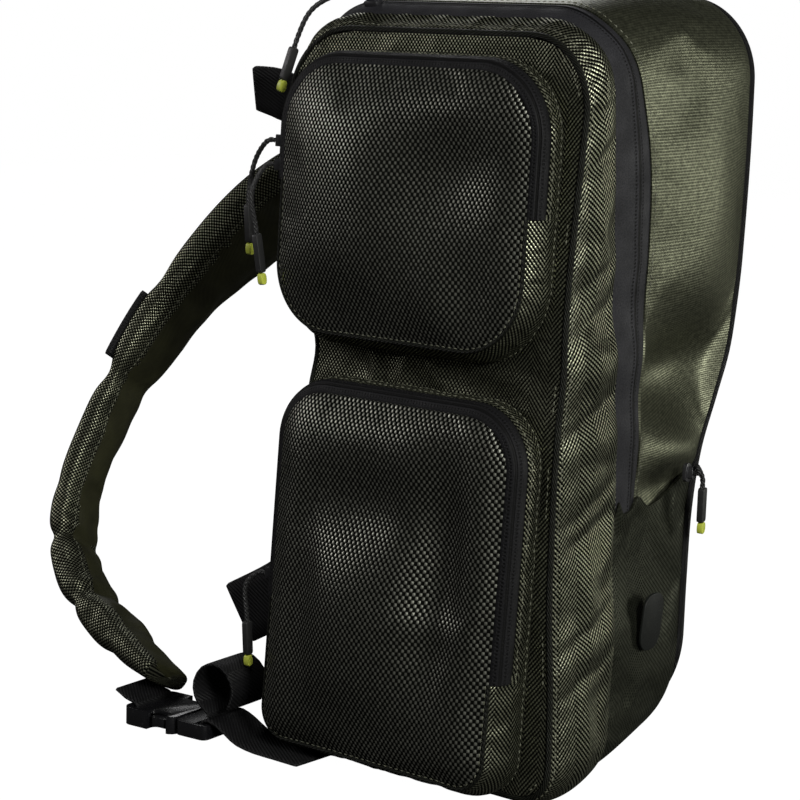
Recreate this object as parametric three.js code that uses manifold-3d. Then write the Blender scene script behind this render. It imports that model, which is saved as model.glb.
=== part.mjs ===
// A fishing rucksack carried on one padded shoulder strap, standing on its base.
// Millimetres, +Z up, -Y is the pocket side, +X is the right side seen from the pockets.
import * as THREE from "three";
import { mergeVertices } from "three/addons/utils/BufferGeometryUtils.js";
import Module from "manifold-3d";

const wasm = await Module();
wasm.setup();

// Driving dimensions.
const SEWN_GAP = 0.3; // clearance between neighbouring pieces
const CLOTH = 2.6; // coated nylon with its lining
const BACK_PADDING = 9; // foam of the back panel
const PIPING_RADIUS = 1.7; // corded seam around a panel
const ZIP_TAPE = 1.2; // thickness of a zip tape
const WEBBING = 1.8; // thickness of woven webbing
const WEBBING_WIDTH = 34;
const ANCHOR_WIDTH = 58;
const CORD_RADIUS = 1.6; // braided puller cord
const GRIP = { width: 7, thickness: 5, tip: 7 };

// Depth sections of the body from the front seam (share 0) to the back seam (share 1).
// The left foot is squarer than the right, under the weight of the strap.
const BODY_SECTIONS = [
  { share: 0.0, halfWidth: 110, bottom: 2.4, top: 424, topRadius: 44, bottomRadius: 18, leftFoot: 18 },
  { share: 0.08, halfWidth: 112, bottom: 0, top: 434, topRadius: 46, bottomRadius: 21, leftFoot: 18 },
  { share: 0.2, halfWidth: 113, bottom: 0, top: 443, topRadius: 47, bottomRadius: 25, leftFoot: 19 },
  { share: 0.5, halfWidth: 114, bottom: 0, top: 450, topRadius: 48, bottomRadius: 40, leftFoot: 22 },
  { share: 0.85, halfWidth: 111, bottom: 0, top: 450, topRadius: 48, bottomRadius: 60, leftFoot: 26 },
  { share: 0.94, halfWidth: 109, bottom: 0, top: 449, topRadius: 47, bottomRadius: 64, leftFoot: 30 },
  { share: 1.0, halfWidth: 106, bottom: 9, top: 446, topRadius: 46, bottomRadius: 66, leftFoot: 34 },
];

// Side profile of the body by height: where the back seam stands, and how far the left and
// right sides are drawn in where the bag folds between its pockets.
const SIDE_PROFILE = [
  { height: -20, back: 52, drawLeft: 8, drawRight: 2 },
  { height: 60, back: 56, drawLeft: 12, drawRight: -2 },
  { height: 110, back: 59, drawLeft: 17, drawRight: -7 },
  { height: 150, back: 62, drawLeft: 22, drawRight: -9 },
  { height: 185, back: 70, drawLeft: 26, drawRight: -10 },
  { height: 215, back: 84, drawLeft: 30, drawRight: -10 },
  { height: 240, back: 95, drawLeft: 33, drawRight: -9 },
  { height: 265, back: 101, drawLeft: 22, drawRight: -10 },
  { height: 295, back: 105, drawLeft: 8, drawRight: -10 },
  { height: 370, back: 107, drawLeft: 0, drawRight: -7 },
  { height: 470, back: 103, drawLeft: 2, drawRight: -2 },
];
// The front panel is flat and leans back.
const FRONT_FOOT = -82;
const FRONT_LEAN = 0.058;

// The main zip by height: how far behind the front seam it runs, and its width with both tapes.
const MAIN_ZIP = [
  { height: 120, setback: 62, width: 15 },
  { height: 170, setback: 61, width: 17 },
  { height: 215, setback: 57, width: 20 },
  { height: 260, setback: 54, width: 27 },
  { height: 330, setback: 49, width: 31 },
  { height: 380, setback: 40, width: 28 },
  { height: 420, setback: 28, width: 18 },
  { height: 440, setback: 21, width: 14 },
  { height: 470, setback: 20, width: 13 },
];
const ZIP_END_HEIGHT = 156;
const HEM_RISE = 26; // the lower panel's hem climbs this much toward the back

// Soft folds of the side panels: place by height and share of depth, reach and depth of the fold.
const SIDE_FOLDS = [
  { height: 248, share: 0.16, reachUp: 16, reachAcross: 0.22, sink: 4.5 },
  { height: 300, share: 0.18, reachUp: 12, reachAcross: 0.15, sink: 2.5 },
  { height: 205, share: 0.2, reachUp: 14, reachAcross: 0.2, sink: 3 },
  { height: 205, share: 0.72, reachUp: 26, reachAcross: 0.22, sink: 5 },
  { height: 330, share: 0.75, reachUp: 70, reachAcross: 0.14, sink: 4 },
  { height: 90, share: 0.3, reachUp: 24, reachAcross: 0.22, sink: 4 },
  { height: 395, share: 0.5, reachUp: 26, reachAcross: 0.3, sink: -3 },
];

// How a pouch rises from the panel: inset from its own outline and share of its depth.
const POCKET_PROFILE = [
  { step: 0.0, inset: 0, rise: 0.02 },
  { step: 0.3, inset: -1, rise: 0.3 },
  { step: 0.5, inset: 0.5, rise: 0.52 },
  { step: 0.8, inset: 5.5, rise: 0.86 },
  { step: 1.0, inset: 11, rise: 1.0 },
];
const POCKET_ZIP_STEPS = [0.46, 0.65, 0.84];
const POCKET_DEPTH = 28; // usual depth of a pouch, for the slope of its gusset

const UPPER_POCKET = {
  outline: { centre: -4, halfWidth: 95, bottom: 244, top: 411, topRadius: 44, bottomRadius: 46 },
  depth: { top: 24, bottom: 22 },
  crown: 17,
  zip: { rightEnd: 326, leftEnd: 336 },
  dents: [
    { x: 20, z: 326, reachX: 36, reachZ: 26, sink: 6 },
    { x: 58, z: 282, reachX: 16, reachZ: 36, sink: 4 },
    { x: -44, z: 345, reachX: 30, reachZ: 40, sink: 2 },
    { x: -30, z: 264, reachX: 44, reachZ: 12, sink: 3 },
  ],
};
const LOWER_POCKET = {
  outline: { centre: 5, halfWidth: 88, bottom: 4, top: 223, topRadius: 36, bottomRadius: 24 },
  depth: { top: 27, bottom: 32 },
  crown: 15,
  zip: { rightEnd: 72, leftEnd: 92 },
  dents: [
    { x: 40, z: 172, reachX: 26, reachZ: 40, sink: 8 },
    { x: -4, z: 116, reachX: 46, reachZ: 20, sink: 6 },
    { x: -44, z: 160, reachX: 16, reachZ: 52, sink: 4 },
    { x: 36, z: 64, reachX: 22, reachZ: 40, sink: 5 },
    { x: -26, z: 50, reachX: 24, reachZ: 22, sink: 4 },
  ],
};

// The padded strap's centre line from its sewn top end, around the left back edge, to its lower end.
// turn leans the strap's face from edge-on toward flat against the back panel, in degrees.
const STRAP = [
  { x: -38, y: 120.6, z: 399, width: 76, thickness: 8, turn: 90 },
  { x: -84, y: 121.6, z: 379, width: 78, thickness: 10, turn: 88 },
  { x: -136, y: 117, z: 353, width: 80, thickness: 12, turn: 74 },
  { x: -178, y: 86, z: 330, width: 78, thickness: 13, turn: 46 },
  { x: -214, y: 45, z: 302, width: 74, thickness: 14, turn: 22 },
  { x: -252, y: 5, z: 248, width: 67, thickness: 14, turn: 2 },
  { x: -272, y: -30, z: 191, width: 62, thickness: 14, turn: -12 },
  { x: -283, y: -60, z: 128, width: 59, thickness: 14, turn: -22 },
  { x: -275, y: -75, z: 94, width: 58, thickness: 14, turn: -24 },
  { x: -251, y: -88, z: 63, width: 58, thickness: 14, turn: -18 },
  { x: -207, y: -98, z: 39.5, width: 60, thickness: 14, turn: -8 },
  { x: -164, y: -104, z: 24.4, width: 58, thickness: 13, turn: 0 },
];
// Creases across the strap: share of its table, reach along it and depth.
const STRAP_CREASES = [
  { at: 0.5, reach: 0.03, sink: 0.16 },
  { at: 0.68, reach: 0.03, sink: 0.22 },
  { at: 0.78, reach: 0.03, sink: 0.26 },
  { at: 0.87, reach: 0.025, sink: 0.18 },
];

// The buckle lies on the floor under the strap's lower end.
const BUCKLE = { x: -142, y: -109, z: 5.5, turn: 5, width: 44, thickness: 11, slot: 4.6, bar: 5 };

// Zip pullers: the zip each slider sits on and where along it, a point the cord passes,
// the grip's top and the end of its bright tip.
const PULLERS = [
  {
    name: "main",
    seat: { on: "main_zip", loop: 0.573 },
    way: { x: -91, y: -62, z: 437 },
    grip: { x: -101, y: -68, z: 412 },
    tip: { x: -108, y: -72, z: 386 },
  },
  {
    name: "upper_left",
    seat: { on: "upper_pocket", height: 358 },
    way: { x: -118, y: -82, z: 345 },
    grip: { x: -122, y: -82, z: 319 },
    tip: { x: -122, y: -80, z: 289 },
  },
  {
    name: "upper_right",
    seat: { on: "upper_pocket", height: 344 },
    way: { x: -111, y: -92, z: 328 },
    grip: { x: -108, y: -90, z: 303 },
    tip: { x: -105, y: -87, z: 273 },
  },
  {
    name: "lower",
    seat: { on: "lower_pocket", height: 104 },
    way: { x: -97, y: -106, z: 96 },
    grip: { x: -97, y: -104, z: 73 },
    tip: { x: -97, y: -102, z: 45 },
  },
  {
    name: "side",
    seat: { on: "hem", height: 176, share: 0.78 },
    way: { x: 124, y: 36, z: 181 },
    grip: { x: 121, y: 48, z: 166 },
    tip: { x: 119, y: 52, z: 138 },
  },
];

const { lerp, clamp, degToRad } = THREE.MathUtils;

const steps = (from, to, count) => Array.from({ length: count + 1 }, (_, k) => lerp(from, to, k / count));

// A smooth value of one column between the rows of a table.
function along(table, key, at, column) {
  const last = table.length - 1;
  if (at <= table[0][key]) return table[0][column];
  if (at >= table[last][key]) return table[last][column];
  const i = table.findIndex((row) => row[key] > at) - 1;
  const row = (k) => table[clamp(k, 0, last)];
  const span = row(i + 1)[key] - row(i)[key];
  const s = (at - row(i)[key]) / span;
  const slope = (k) => {
    const run = row(k + 1)[key] - row(k - 1)[key];
    return ((row(k + 1)[column] - row(k - 1)[column]) / run) * span;
  };
  const from = row(i)[column];
  const to = row(i + 1)[column];
  const bend = 3 * s * s - 2 * s * s * s;
  const lead = s * s * s - 2 * s * s + s;
  const tail = s * s * s - s * s;
  return from + (to - from) * bend + lead * slope(i) + tail * slope(i + 1);
}

// Sum of the soft dents at a place; a positive sink presses the cloth in.
function dentAt(dents, x, z) {
  let depth = 0;
  for (const dent of dents) {
    const a = (x - dent.x) / dent.reachX;
    const b = (z - dent.z) / dent.reachZ;
    depth += dent.sink * Math.exp(-a * a - b * b);
  }
  return depth;
}

// Shares of a loop that starts at the bottom centre, climbs the right side, crosses the top
// and comes down the left side; corners and straights keep their shares at every size.
const LOOP = { bottomEnd: 0.07, bottomCorner: 0.14, sideEnd: 0.34, topCorner: 0.43, middle: 0.5 };

function outlinePoint(shape, loop, inset = 0) {
  const turn = ((loop % 1) + 1) % 1;
  const half = turn > 0.5 ? 1 - turn : turn;
  const side = turn > 0.5 ? -1 : 1;
  const halfWidth = shape.halfWidth - inset;
  const bottom = shape.bottom + inset;
  const top = shape.top - inset;
  const bottomRadius = Math.max(shape.bottomRadius - inset, 2);
  const foot = side < 0 ? Math.max((shape.leftFoot ?? shape.bottomRadius) - inset, 2) : bottomRadius;
  const topRadius = Math.max(shape.topRadius - inset, 2);
  const within = (from, to) => (half - from) / (to - from);
  let x;
  let z;
  if (half <= LOOP.bottomEnd) {
    x = (halfWidth - foot) * within(0, LOOP.bottomEnd);
    z = bottom;
  } else if (half <= LOOP.bottomCorner) {
    const angle = degToRad(-90 + 90 * within(LOOP.bottomEnd, LOOP.bottomCorner));
    x = halfWidth - foot + foot * Math.cos(angle);
    z = bottom + foot + foot * Math.sin(angle);
  } else if (half <= LOOP.sideEnd) {
    x = halfWidth;
    z = lerp(bottom + bottomRadius, top - topRadius, within(LOOP.bottomCorner, LOOP.sideEnd));
  } else if (half <= LOOP.topCorner) {
    const angle = degToRad(90 * within(LOOP.sideEnd, LOOP.topCorner));
    x = halfWidth - topRadius + topRadius * Math.cos(angle);
    z = top - topRadius + topRadius * Math.sin(angle);
  } else {
    x = (halfWidth - topRadius) * (1 - within(LOOP.topCorner, LOOP.middle));
    z = top;
  }
  return { x: (shape.centre ?? 0) + side * x, z };
}

// The share of the loop at which a side reaches a height.
function loopAtHeight(shape, height) {
  const low = shape.bottom + shape.bottomRadius;
  const high = shape.top - shape.topRadius;
  return lerp(LOOP.bottomCorner, LOOP.sideEnd, (height - low) / (high - low));
}

// Evenly laid shares for one whole loop, with enough steps to round each corner.
const LOOP_STEPS = [
  { to: LOOP.bottomEnd, steps: 2 },
  { to: LOOP.bottomCorner, steps: 3 },
  { to: LOOP.sideEnd, steps: 8 },
  { to: LOOP.topCorner, steps: 4 },
  { to: LOOP.middle, steps: 2 },
];
function wholeLoop() {
  const half = [0];
  let from = 0;
  for (const { to, steps } of LOOP_STEPS) {
    for (let k = 1; k <= steps; k++) half.push(lerp(from, to, k / steps));
    from = to;
  }
  const mirrored = half.slice(1, -1).reverse().map((share) => 1 - share);
  return [...half, ...mirrored];
}

function bodySection(share) {
  const section = {};
  for (const column of ["halfWidth", "bottom", "top", "topRadius", "bottomRadius", "leftFoot"]) {
    section[column] = along(BODY_SECTIONS, "share", share, column);
  }
  section.bottom = Math.max(section.bottom, 0);
  return section;
}

// A point of the body's cloth: loop share, share of the depth and distance outward.
function bodyPoint(loop, share, outward = 0) {
  const { x, z } = outlinePoint(bodySection(share), loop, -outward);
  let fold = 0;
  for (const crease of SIDE_FOLDS) {
    const a = (z - crease.height) / crease.reachUp;
    const b = (share - crease.share) / crease.reachAcross;
    fold += crease.sink * Math.exp(-a * a - b * b);
  }
  const flank = clamp((Math.abs(x) - 60) / 40, 0, 1) * Math.sin(Math.PI * clamp(share, 0, 1)) ** 0.5;
  const draw = along(SIDE_PROFILE, "height", z, x < 0 ? "drawLeft" : "drawRight") * (1 - 0.7 * share);
  const inward = fold * flank + (draw * Math.abs(x)) / 110;
  return new THREE.Vector3(x - Math.sign(x) * inward, lerp(frontSeam(z), backSeam(z), share), z);
}

function frontSeam(height) {
  return FRONT_FOOT + FRONT_LEAN * height;
}

function backSeam(height) {
  return along(SIDE_PROFILE, "height", height, "back");
}

function bodyDepth(height) {
  return backSeam(height) - frontSeam(height);
}

// The share of the depth at which the main zip runs, by loop share.
function zipShare(loop) {
  const { z } = outlinePoint(bodySection(0.3), loop);
  return along(MAIN_ZIP, "height", z, "setback") / bodyDepth(z);
}

// Triangles of a closed skin, joined where points meet and turned outward.
function solidFrom(points, faces) {
  const positions = new Float32Array(points.flatMap((p) => [p.x, p.y, p.z]));
  let geometry = new THREE.BufferGeometry();
  geometry.setAttribute("position", new THREE.BufferAttribute(positions, 3));
  geometry.setIndex(faces.flat());
  geometry = mergeVertices(geometry, 1e-3);
  const kept = [];
  const index = geometry.index.array;
  const at = (k) => new THREE.Vector3().fromBufferAttribute(geometry.attributes.position, k);
  let volume = 0;
  for (let k = 0; k < index.length; k += 3) {
    const [a, b, c] = [index[k], index[k + 1], index[k + 2]];
    if (a === b || b === c || c === a) continue;
    kept.push([a, b, c]);
    volume += at(a).dot(at(b).cross(at(c)));
  }
  const turned = volume < 0 ? kept.map(([a, b, c]) => [a, c, b]) : kept;
  geometry.setIndex(turned.flat());
  return geometry;
}

// A skin with a thickness: outer(i, j) and inner(i, j) give its two faces over a grid.
function skin({ columns, rows, closed = false, outer, inner }) {
  const points = [];
  for (const face of [outer, inner]) {
    for (let j = 0; j < rows; j++) {
      for (let i = 0; i < columns; i++) points.push(face(i, j));
    }
  }
  const layer = columns * rows;
  const id = (side, i, j) => side * layer + j * columns + (i % columns);
  const faces = [];
  const quad = (a, b, c, d) => faces.push([a, b, c], [a, c, d]);
  const last = closed ? columns : columns - 1;
  for (let i = 0; i < last; i++) {
    for (let j = 0; j < rows - 1; j++) {
      quad(id(0, i, j), id(0, i + 1, j), id(0, i + 1, j + 1), id(0, i, j + 1));
      quad(id(1, i, j), id(1, i, j + 1), id(1, i + 1, j + 1), id(1, i + 1, j));
    }
    quad(id(0, i + 1, 0), id(0, i, 0), id(1, i, 0), id(1, i + 1, 0));
    quad(id(0, i, rows - 1), id(0, i + 1, rows - 1), id(1, i + 1, rows - 1), id(1, i, rows - 1));
  }
  if (!closed) {
    for (let j = 0; j < rows - 1; j++) {
      quad(id(0, 0, j), id(0, 0, j + 1), id(1, 0, j + 1), id(1, 0, j));
      quad(id(0, last, j + 1), id(0, last, j), id(1, last, j), id(1, last, j + 1));
    }
  }
  return solidFrom(points, faces);
}

// A solid through a row of rings, capped at both ends or joined into a hoop.
function loft(rings, hoop = false) {
  const count = rings[0].length;
  const points = rings.flat();
  const faces = [];
  const id = (r, k) => (r % rings.length) * count + (k % count);
  const last = hoop ? rings.length : rings.length - 1;
  for (let r = 0; r < last; r++) {
    for (let k = 0; k < count; k++) {
      faces.push([id(r, k), id(r, k + 1), id(r + 1, k + 1)], [id(r, k), id(r + 1, k + 1), id(r + 1, k)]);
    }
  }
  if (!hoop) {
    for (let k = 1; k < count - 1; k++) {
      faces.push([id(0, 0), id(0, k + 1), id(0, k)]);
      faces.push([id(last, 0), id(last, k), id(last, k + 1)]);
    }
  }
  return solidFrom(points, faces);
}

function toManifold(geometry) {
  const vertProperties = new Float32Array(geometry.attributes.position.array);
  const triVerts = new Uint32Array(geometry.index.array);
  return new wasm.Manifold(new wasm.Mesh({ numProp: 3, vertProperties, triVerts }));
}

function fromManifold(solid) {
  const { vertProperties, triVerts } = solid.getMesh();
  const geometry = new THREE.BufferGeometry();
  geometry.setAttribute("position", new THREE.BufferAttribute(new Float32Array(vertProperties), 3));
  geometry.setIndex(new THREE.BufferAttribute(new Uint32Array(triVerts), 1));
  return geometry;
}

function without(geometry, ...cutters) {
  let solid = toManifold(geometry);
  for (const cutter of cutters) solid = solid.subtract(toManifold(cutter));
  return fromManifold(solid);
}

function joined(...geometries) {
  let solid = toManifold(geometries[0]);
  for (const geometry of geometries.slice(1)) solid = solid.add(toManifold(geometry));
  return fromManifold(solid);
}

function plain(geometry) {
  geometry.deleteAttribute("normal");
  geometry.deleteAttribute("uv");
  return mergeVertices(geometry, 1e-3);
}

// The body's cloth pieces.

const SEAM_CLEAR = PIPING_RADIUS + SEWN_GAP;
const HEM_GAP = 0.0003; // as a share of the loop
const zipEndLoop = loopAtHeight(bodySection(0.4), ZIP_END_HEIGHT);

function mmToShare(loop, distance) {
  const { z } = outlinePoint(bodySection(0.3), loop);
  return distance / bodyDepth(z);
}

// Half the main zip's width as a share of the depth.
function zipHalf(loop) {
  const { z } = outlinePoint(bodySection(0.3), loop);
  return mmToShare(loop, along(MAIN_ZIP, "height", z, "width") / 2);
}

// Where the front gusset's rear edge runs: along the zip, then straight on under the base.
function frontGussetEdge(loop) {
  const turn = ((loop % 1) + 1) % 1;
  const held = clamp(turn > 0.5 ? 1 - turn : turn, zipEndLoop, 0.5);
  return zipShare(held) - zipHalf(held);
}

function frontGusset() {
  const loops = wholeLoop();
  const across = [0, 0.5, 1];
  const place = (i, j, outward) => {
    const from = mmToShare(loops[i], SEAM_CLEAR);
    const share = lerp(from, frontGussetEdge(loops[i]), across[j]);
    return bodyPoint(loops[i], share, outward);
  };
  return skin({
    columns: loops.length,
    rows: across.length,
    closed: true,
    outer: (i, j) => place(i, j, 0),
    inner: (i, j) => place(i, j, -CLOTH),
  });
}

// Loop shares of an arch from low on the right side, over the top, to low on the left side.
function archLoops(from) {
  const inside = wholeLoop().filter((loop) => loop > from + 0.006 && loop < 1 - from - 0.006);
  return [from, ...inside, 1 - from];
}

function mainZip() {
  const loops = archLoops(zipEndLoop);
  const across = [-1, 0, 1];
  const place = (i, j, outward) => {
    const half = zipHalf(loops[i]) - mmToShare(loops[i], 2 * SEWN_GAP);
    return bodyPoint(loops[i], zipShare(loops[i]) + across[j] * half, outward);
  };
  return skin({
    columns: loops.length,
    rows: across.length,
    outer: (i, j) => place(i, j, -0.4),
    inner: (i, j) => place(i, j, -0.4 - ZIP_TAPE),
  });
}

// The hem of the lower panel, as a loop share at each share of the depth.
const hemStart = zipShare(zipEndLoop) + zipHalf(zipEndLoop);
const hemEnd = 1 - mmToShare(zipEndLoop, SEAM_CLEAR);
const HEM_SHARES = steps(hemStart, hemEnd, 4);

function hemLoop(share) {
  const s = clamp((share - hemStart) / (1 - hemStart), 0, 1);
  return loopAtHeight(bodySection(share), ZIP_END_HEIGHT + HEM_RISE * s * s);
}

function rearGusset() {
  const base = archLoops(zipEndLoop);
  const place = (i, j, outward) => {
    const spread = (base[i] - zipEndLoop) / (1 - 2 * zipEndLoop);
    const low = hemLoop(HEM_SHARES[j]) + HEM_GAP;
    const loop = lerp(low, 1 - low, spread);
    const held = Math.max(loop > 0.5 ? 1 - loop : loop, zipEndLoop);
    const from = zipShare(held) + zipHalf(held);
    const to = 1 - mmToShare(held, SEAM_CLEAR);
    return bodyPoint(loop, lerp(from, to, j / (HEM_SHARES.length - 1)), outward);
  };
  return skin({
    columns: base.length,
    rows: HEM_SHARES.length,
    outer: (i, j) => place(i, j, 0),
    inner: (i, j) => place(i, j, -CLOTH),
  });
}

// Side panels and base in one trough, from the front gusset to the back seam.
function lowerBody() {
  const from = frontGussetEdge(0) + mmToShare(zipEndLoop, SEWN_GAP);
  const shares = [from, hemStart - 0.004, ...HEM_SHARES];
  const spread = steps(-1, 1, 34);
  const place = (i, j, outward) => {
    const top = shares[j] < hemStart ? zipEndLoop - HEM_GAP : hemLoop(shares[j]) - HEM_GAP;
    return bodyPoint(spread[i] * top, shares[j], outward);
  };
  return skin({
    columns: spread.length,
    rows: shares.length,
    outer: (i, j) => place(i, j, 0),
    inner: (i, j) => place(i, j, -CLOTH),
  });
}

// A panel that fills a section, as rings shrinking to its middle.
function panel(share, face, thickness, sizes) {
  const loops = wholeLoop();
  const edgeInset = SEAM_CLEAR + 0.6;
  const section = bodySection(share);
  const middle = (section.bottom + section.top) / 2;
  const place = (i, j, offset) => {
    const rim = bodyPoint(loops[i], share, -edgeInset);
    const x = rim.x * sizes[j];
    const z = lerp(middle, rim.z, sizes[j]);
    return new THREE.Vector3(x, face(x, z, sizes[j]) + offset, z);
  };
  return skin({
    columns: loops.length,
    rows: sizes.length,
    closed: true,
    outer: (i, j) => place(i, j, 0),
    inner: (i, j) => place(i, j, thickness),
  });
}

function piping(share) {
  const loops = wholeLoop();
  const middle = new THREE.Vector3(0, 0, 220);
  const rings = loops.map((loop) => {
    const centre = bodyPoint(loop, share);
    const out = centre.clone().sub(middle).setY(0).normalize();
    return steps(0, 1, 6).slice(0, 6).map((s) => {
      const angle = 2 * Math.PI * s;
      const reach = PIPING_RADIUS * Math.cos(angle);
      const lift = PIPING_RADIUS * Math.sin(angle);
      return centre.clone().addScaledVector(out, reach).add(new THREE.Vector3(0, lift, 0));
    });
  });
  return loft(rings, true);
}

// The pouches.

function profileAt(step, outward) {
  const inset = along(POCKET_PROFILE, "step", step, "inset");
  const rise = along(POCKET_PROFILE, "step", step, "rise");
  const ahead = clamp(step + 0.02, 0, 1);
  const behind = clamp(step - 0.02, 0, 1);
  const run = along(POCKET_PROFILE, "step", ahead, "inset") - along(POCKET_PROFILE, "step", behind, "inset");
  const lift = along(POCKET_PROFILE, "step", ahead, "rise") - along(POCKET_PROFILE, "step", behind, "rise");
  const climb = POCKET_DEPTH * lift;
  const length = Math.hypot(run, climb);
  return { inset: inset - (outward * climb) / length, rise, stand: (outward * run) / length };
}

// A point of a pouch: step 0 to 1 climbs its gusset, step 1 to 2 crosses its face.
function pocketPoint(pocket, loop, step, outward = 0) {
  const { outline, depth, crown, dents } = pocket;
  const { inset, rise, stand } = profileAt(Math.min(step, 1), outward);
  const edge = outlinePoint(outline, loop, inset);
  const size = step <= 1 ? 1 : 2 - step;
  const middle = (outline.bottom + outline.top) / 2;
  const x = lerp(outline.centre, edge.x, size);
  const z = lerp(middle, edge.z, size);
  const height = clamp((z - outline.bottom) / (outline.top - outline.bottom), 0, 1);
  const reach = lerp(depth.bottom, depth.top, height);
  const crownShare = step <= 1 ? 0 : 1 - size ** 2.4;
  const dent = dentAt(dents, x, z) * (step <= 1 ? 0 : 1 - size ** 4);
  const thick = step <= 1 ? stand : outward;
  const out = rise * reach + crown * crownShare - dent + thick;
  return new THREE.Vector3(x, frontSeam(z) - CLOTH / 2 - SEWN_GAP - out, z);
}

function pouch(pocket) {
  const loops = wholeLoop();
  const ups = [0, 0.3, 0.65, 1, 1.2, 1.45, 1.75, 2];
  const body = skin({
    columns: loops.length,
    rows: ups.length,
    closed: true,
    outer: (i, j) => pocketPoint(pocket, loops[i], ups[j], 0),
    inner: (i, j) => pocketPoint(pocket, loops[i], ups[j], -CLOTH),
  });
  return without(body, pocketZip(pocket, 0.012, 4, -6));
}

// The zip around a pouch's shoulder; a wider and thicker copy of it cuts the slot.
function pocketZip(pocket, margin, outerFace, innerFace) {
  const { outline, zip } = pocket;
  const from = loopAtHeight(outline, zip.rightEnd) - margin * 0.3;
  const to = 1 - loopAtHeight(outline, zip.leftEnd) + margin * 0.3;
  const between = wholeLoop().filter((loop) => loop > from + 0.004 && loop < to - 0.004);
  const loops = [from, ...between, to];
  const ups = [...POCKET_ZIP_STEPS];
  ups[0] -= margin;
  ups[2] += margin;
  return skin({
    columns: loops.length,
    rows: ups.length,
    outer: (i, j) => pocketPoint(pocket, loops[i], ups[j], outerFace),
    inner: (i, j) => pocketPoint(pocket, loops[i], ups[j], innerFace),
  });
}

// Bands: the padded strap and flat webbing along a table of stations.

function bandFrames(stations, count) {
  const curve = new THREE.CatmullRomCurve3(stations.map(({ x, y, z }) => new THREE.Vector3(x, y, z)));
  const last = stations.length - 1;
  return steps(0, 1, count).map((share) => {
    const at = share * last;
    const k = Math.min(Math.floor(at), last - 1);
    const mix = (column) => lerp(stations[k][column], stations[k + 1][column], at - k);
    const tangent = curve.getTangent(share);
    const sideways = new THREE.Vector3(0, 1, 0);
    sideways.addScaledVector(tangent, -sideways.dot(tangent)).normalize();
    sideways.applyAxisAngle(tangent, degToRad(mix("turn")));
    const normal = new THREE.Vector3().crossVectors(tangent, sideways).normalize();
    const centre = curve.getPoint(share);
    return { share, centre, sideways, normal, width: mix("width"), thick: mix("thickness") };
  });
}

// Cross-section corners as shares of half the width and half the thickness.
const PADDED_SECTION = [
  [1, 0.4], [0.9, 0.9], [0.4, 1.05], [-0.4, 1.05], [-0.9, 0.9], [-1, 0.4],
  [-1, -0.4], [-0.9, -0.9], [-0.4, -1.05], [0.4, -1.05], [0.9, -0.9], [1, -0.4],
];
const FLAT_SECTION = [[1, 1], [-1, 1], [-1, -1], [1, -1]];
const ROUND_SECTION = steps(0, 7, 7).map((k) => [Math.cos((k * Math.PI) / 4), Math.sin((k * Math.PI) / 4)]);

function band(stations, count, section, creases = []) {
  const rings = bandFrames(stations, count).map(({ share, centre, sideways, normal, width, thick }) => {
    let pinch = 1;
    for (const crease of creases) {
      pinch -= crease.sink * Math.exp(-(((share - crease.at) / crease.reach) ** 2));
    }
    return section.map(([across, up]) => centre
      .clone()
      .addScaledVector(sideways, (across * width * (1 - 0.25 * (1 - pinch))) / 2)
      .addScaledVector(normal, (up * thick * pinch) / 2));
  });
  return loft(rings);
}

// Webbing stations share one width and thickness.
function webbing(stations, count, width = WEBBING_WIDTH) {
  return band(stations.map((row) => ({ turn: 0, ...row, width, thickness: WEBBING })), count, FLAT_SECTION);
}

// Small moulded parts.

function roundedBlock(length, width, thickness, radius, curveSegments = 1) {
  const shape = new THREE.Shape();
  const [a, b] = [length / 2, width / 2];
  shape.moveTo(-a + radius, -b);
  shape.lineTo(a - radius, -b);
  shape.absarc(a - radius, -b + radius, radius, -Math.PI / 2, 0);
  shape.absarc(a - radius, b - radius, radius, 0, Math.PI / 2);
  shape.absarc(-a + radius, b - radius, radius, Math.PI / 2, Math.PI);
  shape.absarc(-a + radius, -b + radius, radius, Math.PI, 1.5 * Math.PI);
  const geometry = new THREE.ExtrudeGeometry(shape, { depth: thickness, bevelEnabled: false, curveSegments });
  geometry.translate(0, 0, -thickness / 2);
  return plain(geometry);
}

const COLOURS = {
  ballistic: 0x2d3024,
  satin: 0x23271c,
  zip: 0x17171a,
  webbing: 0x101010,
  plastic: 0x0c0c0d,
  metal: 0x1b1b1c,
  rubber: 0x121212,
  lime: 0xb6c832,
  padding: 0x1a1b18,
};
const bag = new THREE.Group();
bag.name = "fishing_rucksack";

function addTo(parent, name, geometry, colour, roughness = 0.85) {
  const material = new THREE.MeshStandardMaterial({ color: COLOURS[colour], roughness });
  const mesh = new THREE.Mesh(geometry, material);
  mesh.name = name;
  parent.add(mesh);
  return mesh;
}
const add = (name, geometry, colour, roughness) => addTo(bag, name, geometry, colour, roughness);

add("front_panel", panel(0, (x, z) => frontSeam(z) - CLOTH / 2, CLOTH, [1, 0]), "ballistic");
add("front_gusset", frontGusset(), "ballistic");
add("main_zip", mainZip(), "zip");
add("rear_gusset", rearGusset(), "satin", 0.6);
add("lower_body", lowerBody(), "satin", 0.6);
add("back_panel", panel(1, (x, z) => backSeam(z) - 1.4, BACK_PADDING, [1, 0.8, 0.45, 0]), "padding");
add("front_piping", piping(0), "ballistic");
add("back_piping", piping(1), "webbing");
add("upper_pocket", pouch(UPPER_POCKET), "ballistic");
add("upper_pocket_zip", pocketZip(UPPER_POCKET, 0, -0.4, -0.4 - ZIP_TAPE), "zip");
add("lower_pocket", pouch(LOWER_POCKET), "ballistic");
add("lower_pocket_zip", pocketZip(LOWER_POCKET, 0, -0.4, -0.4 - ZIP_TAPE), "zip");
add("shoulder_strap", band(STRAP, 34, PADDED_SECTION, STRAP_CREASES), "ballistic");

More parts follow.
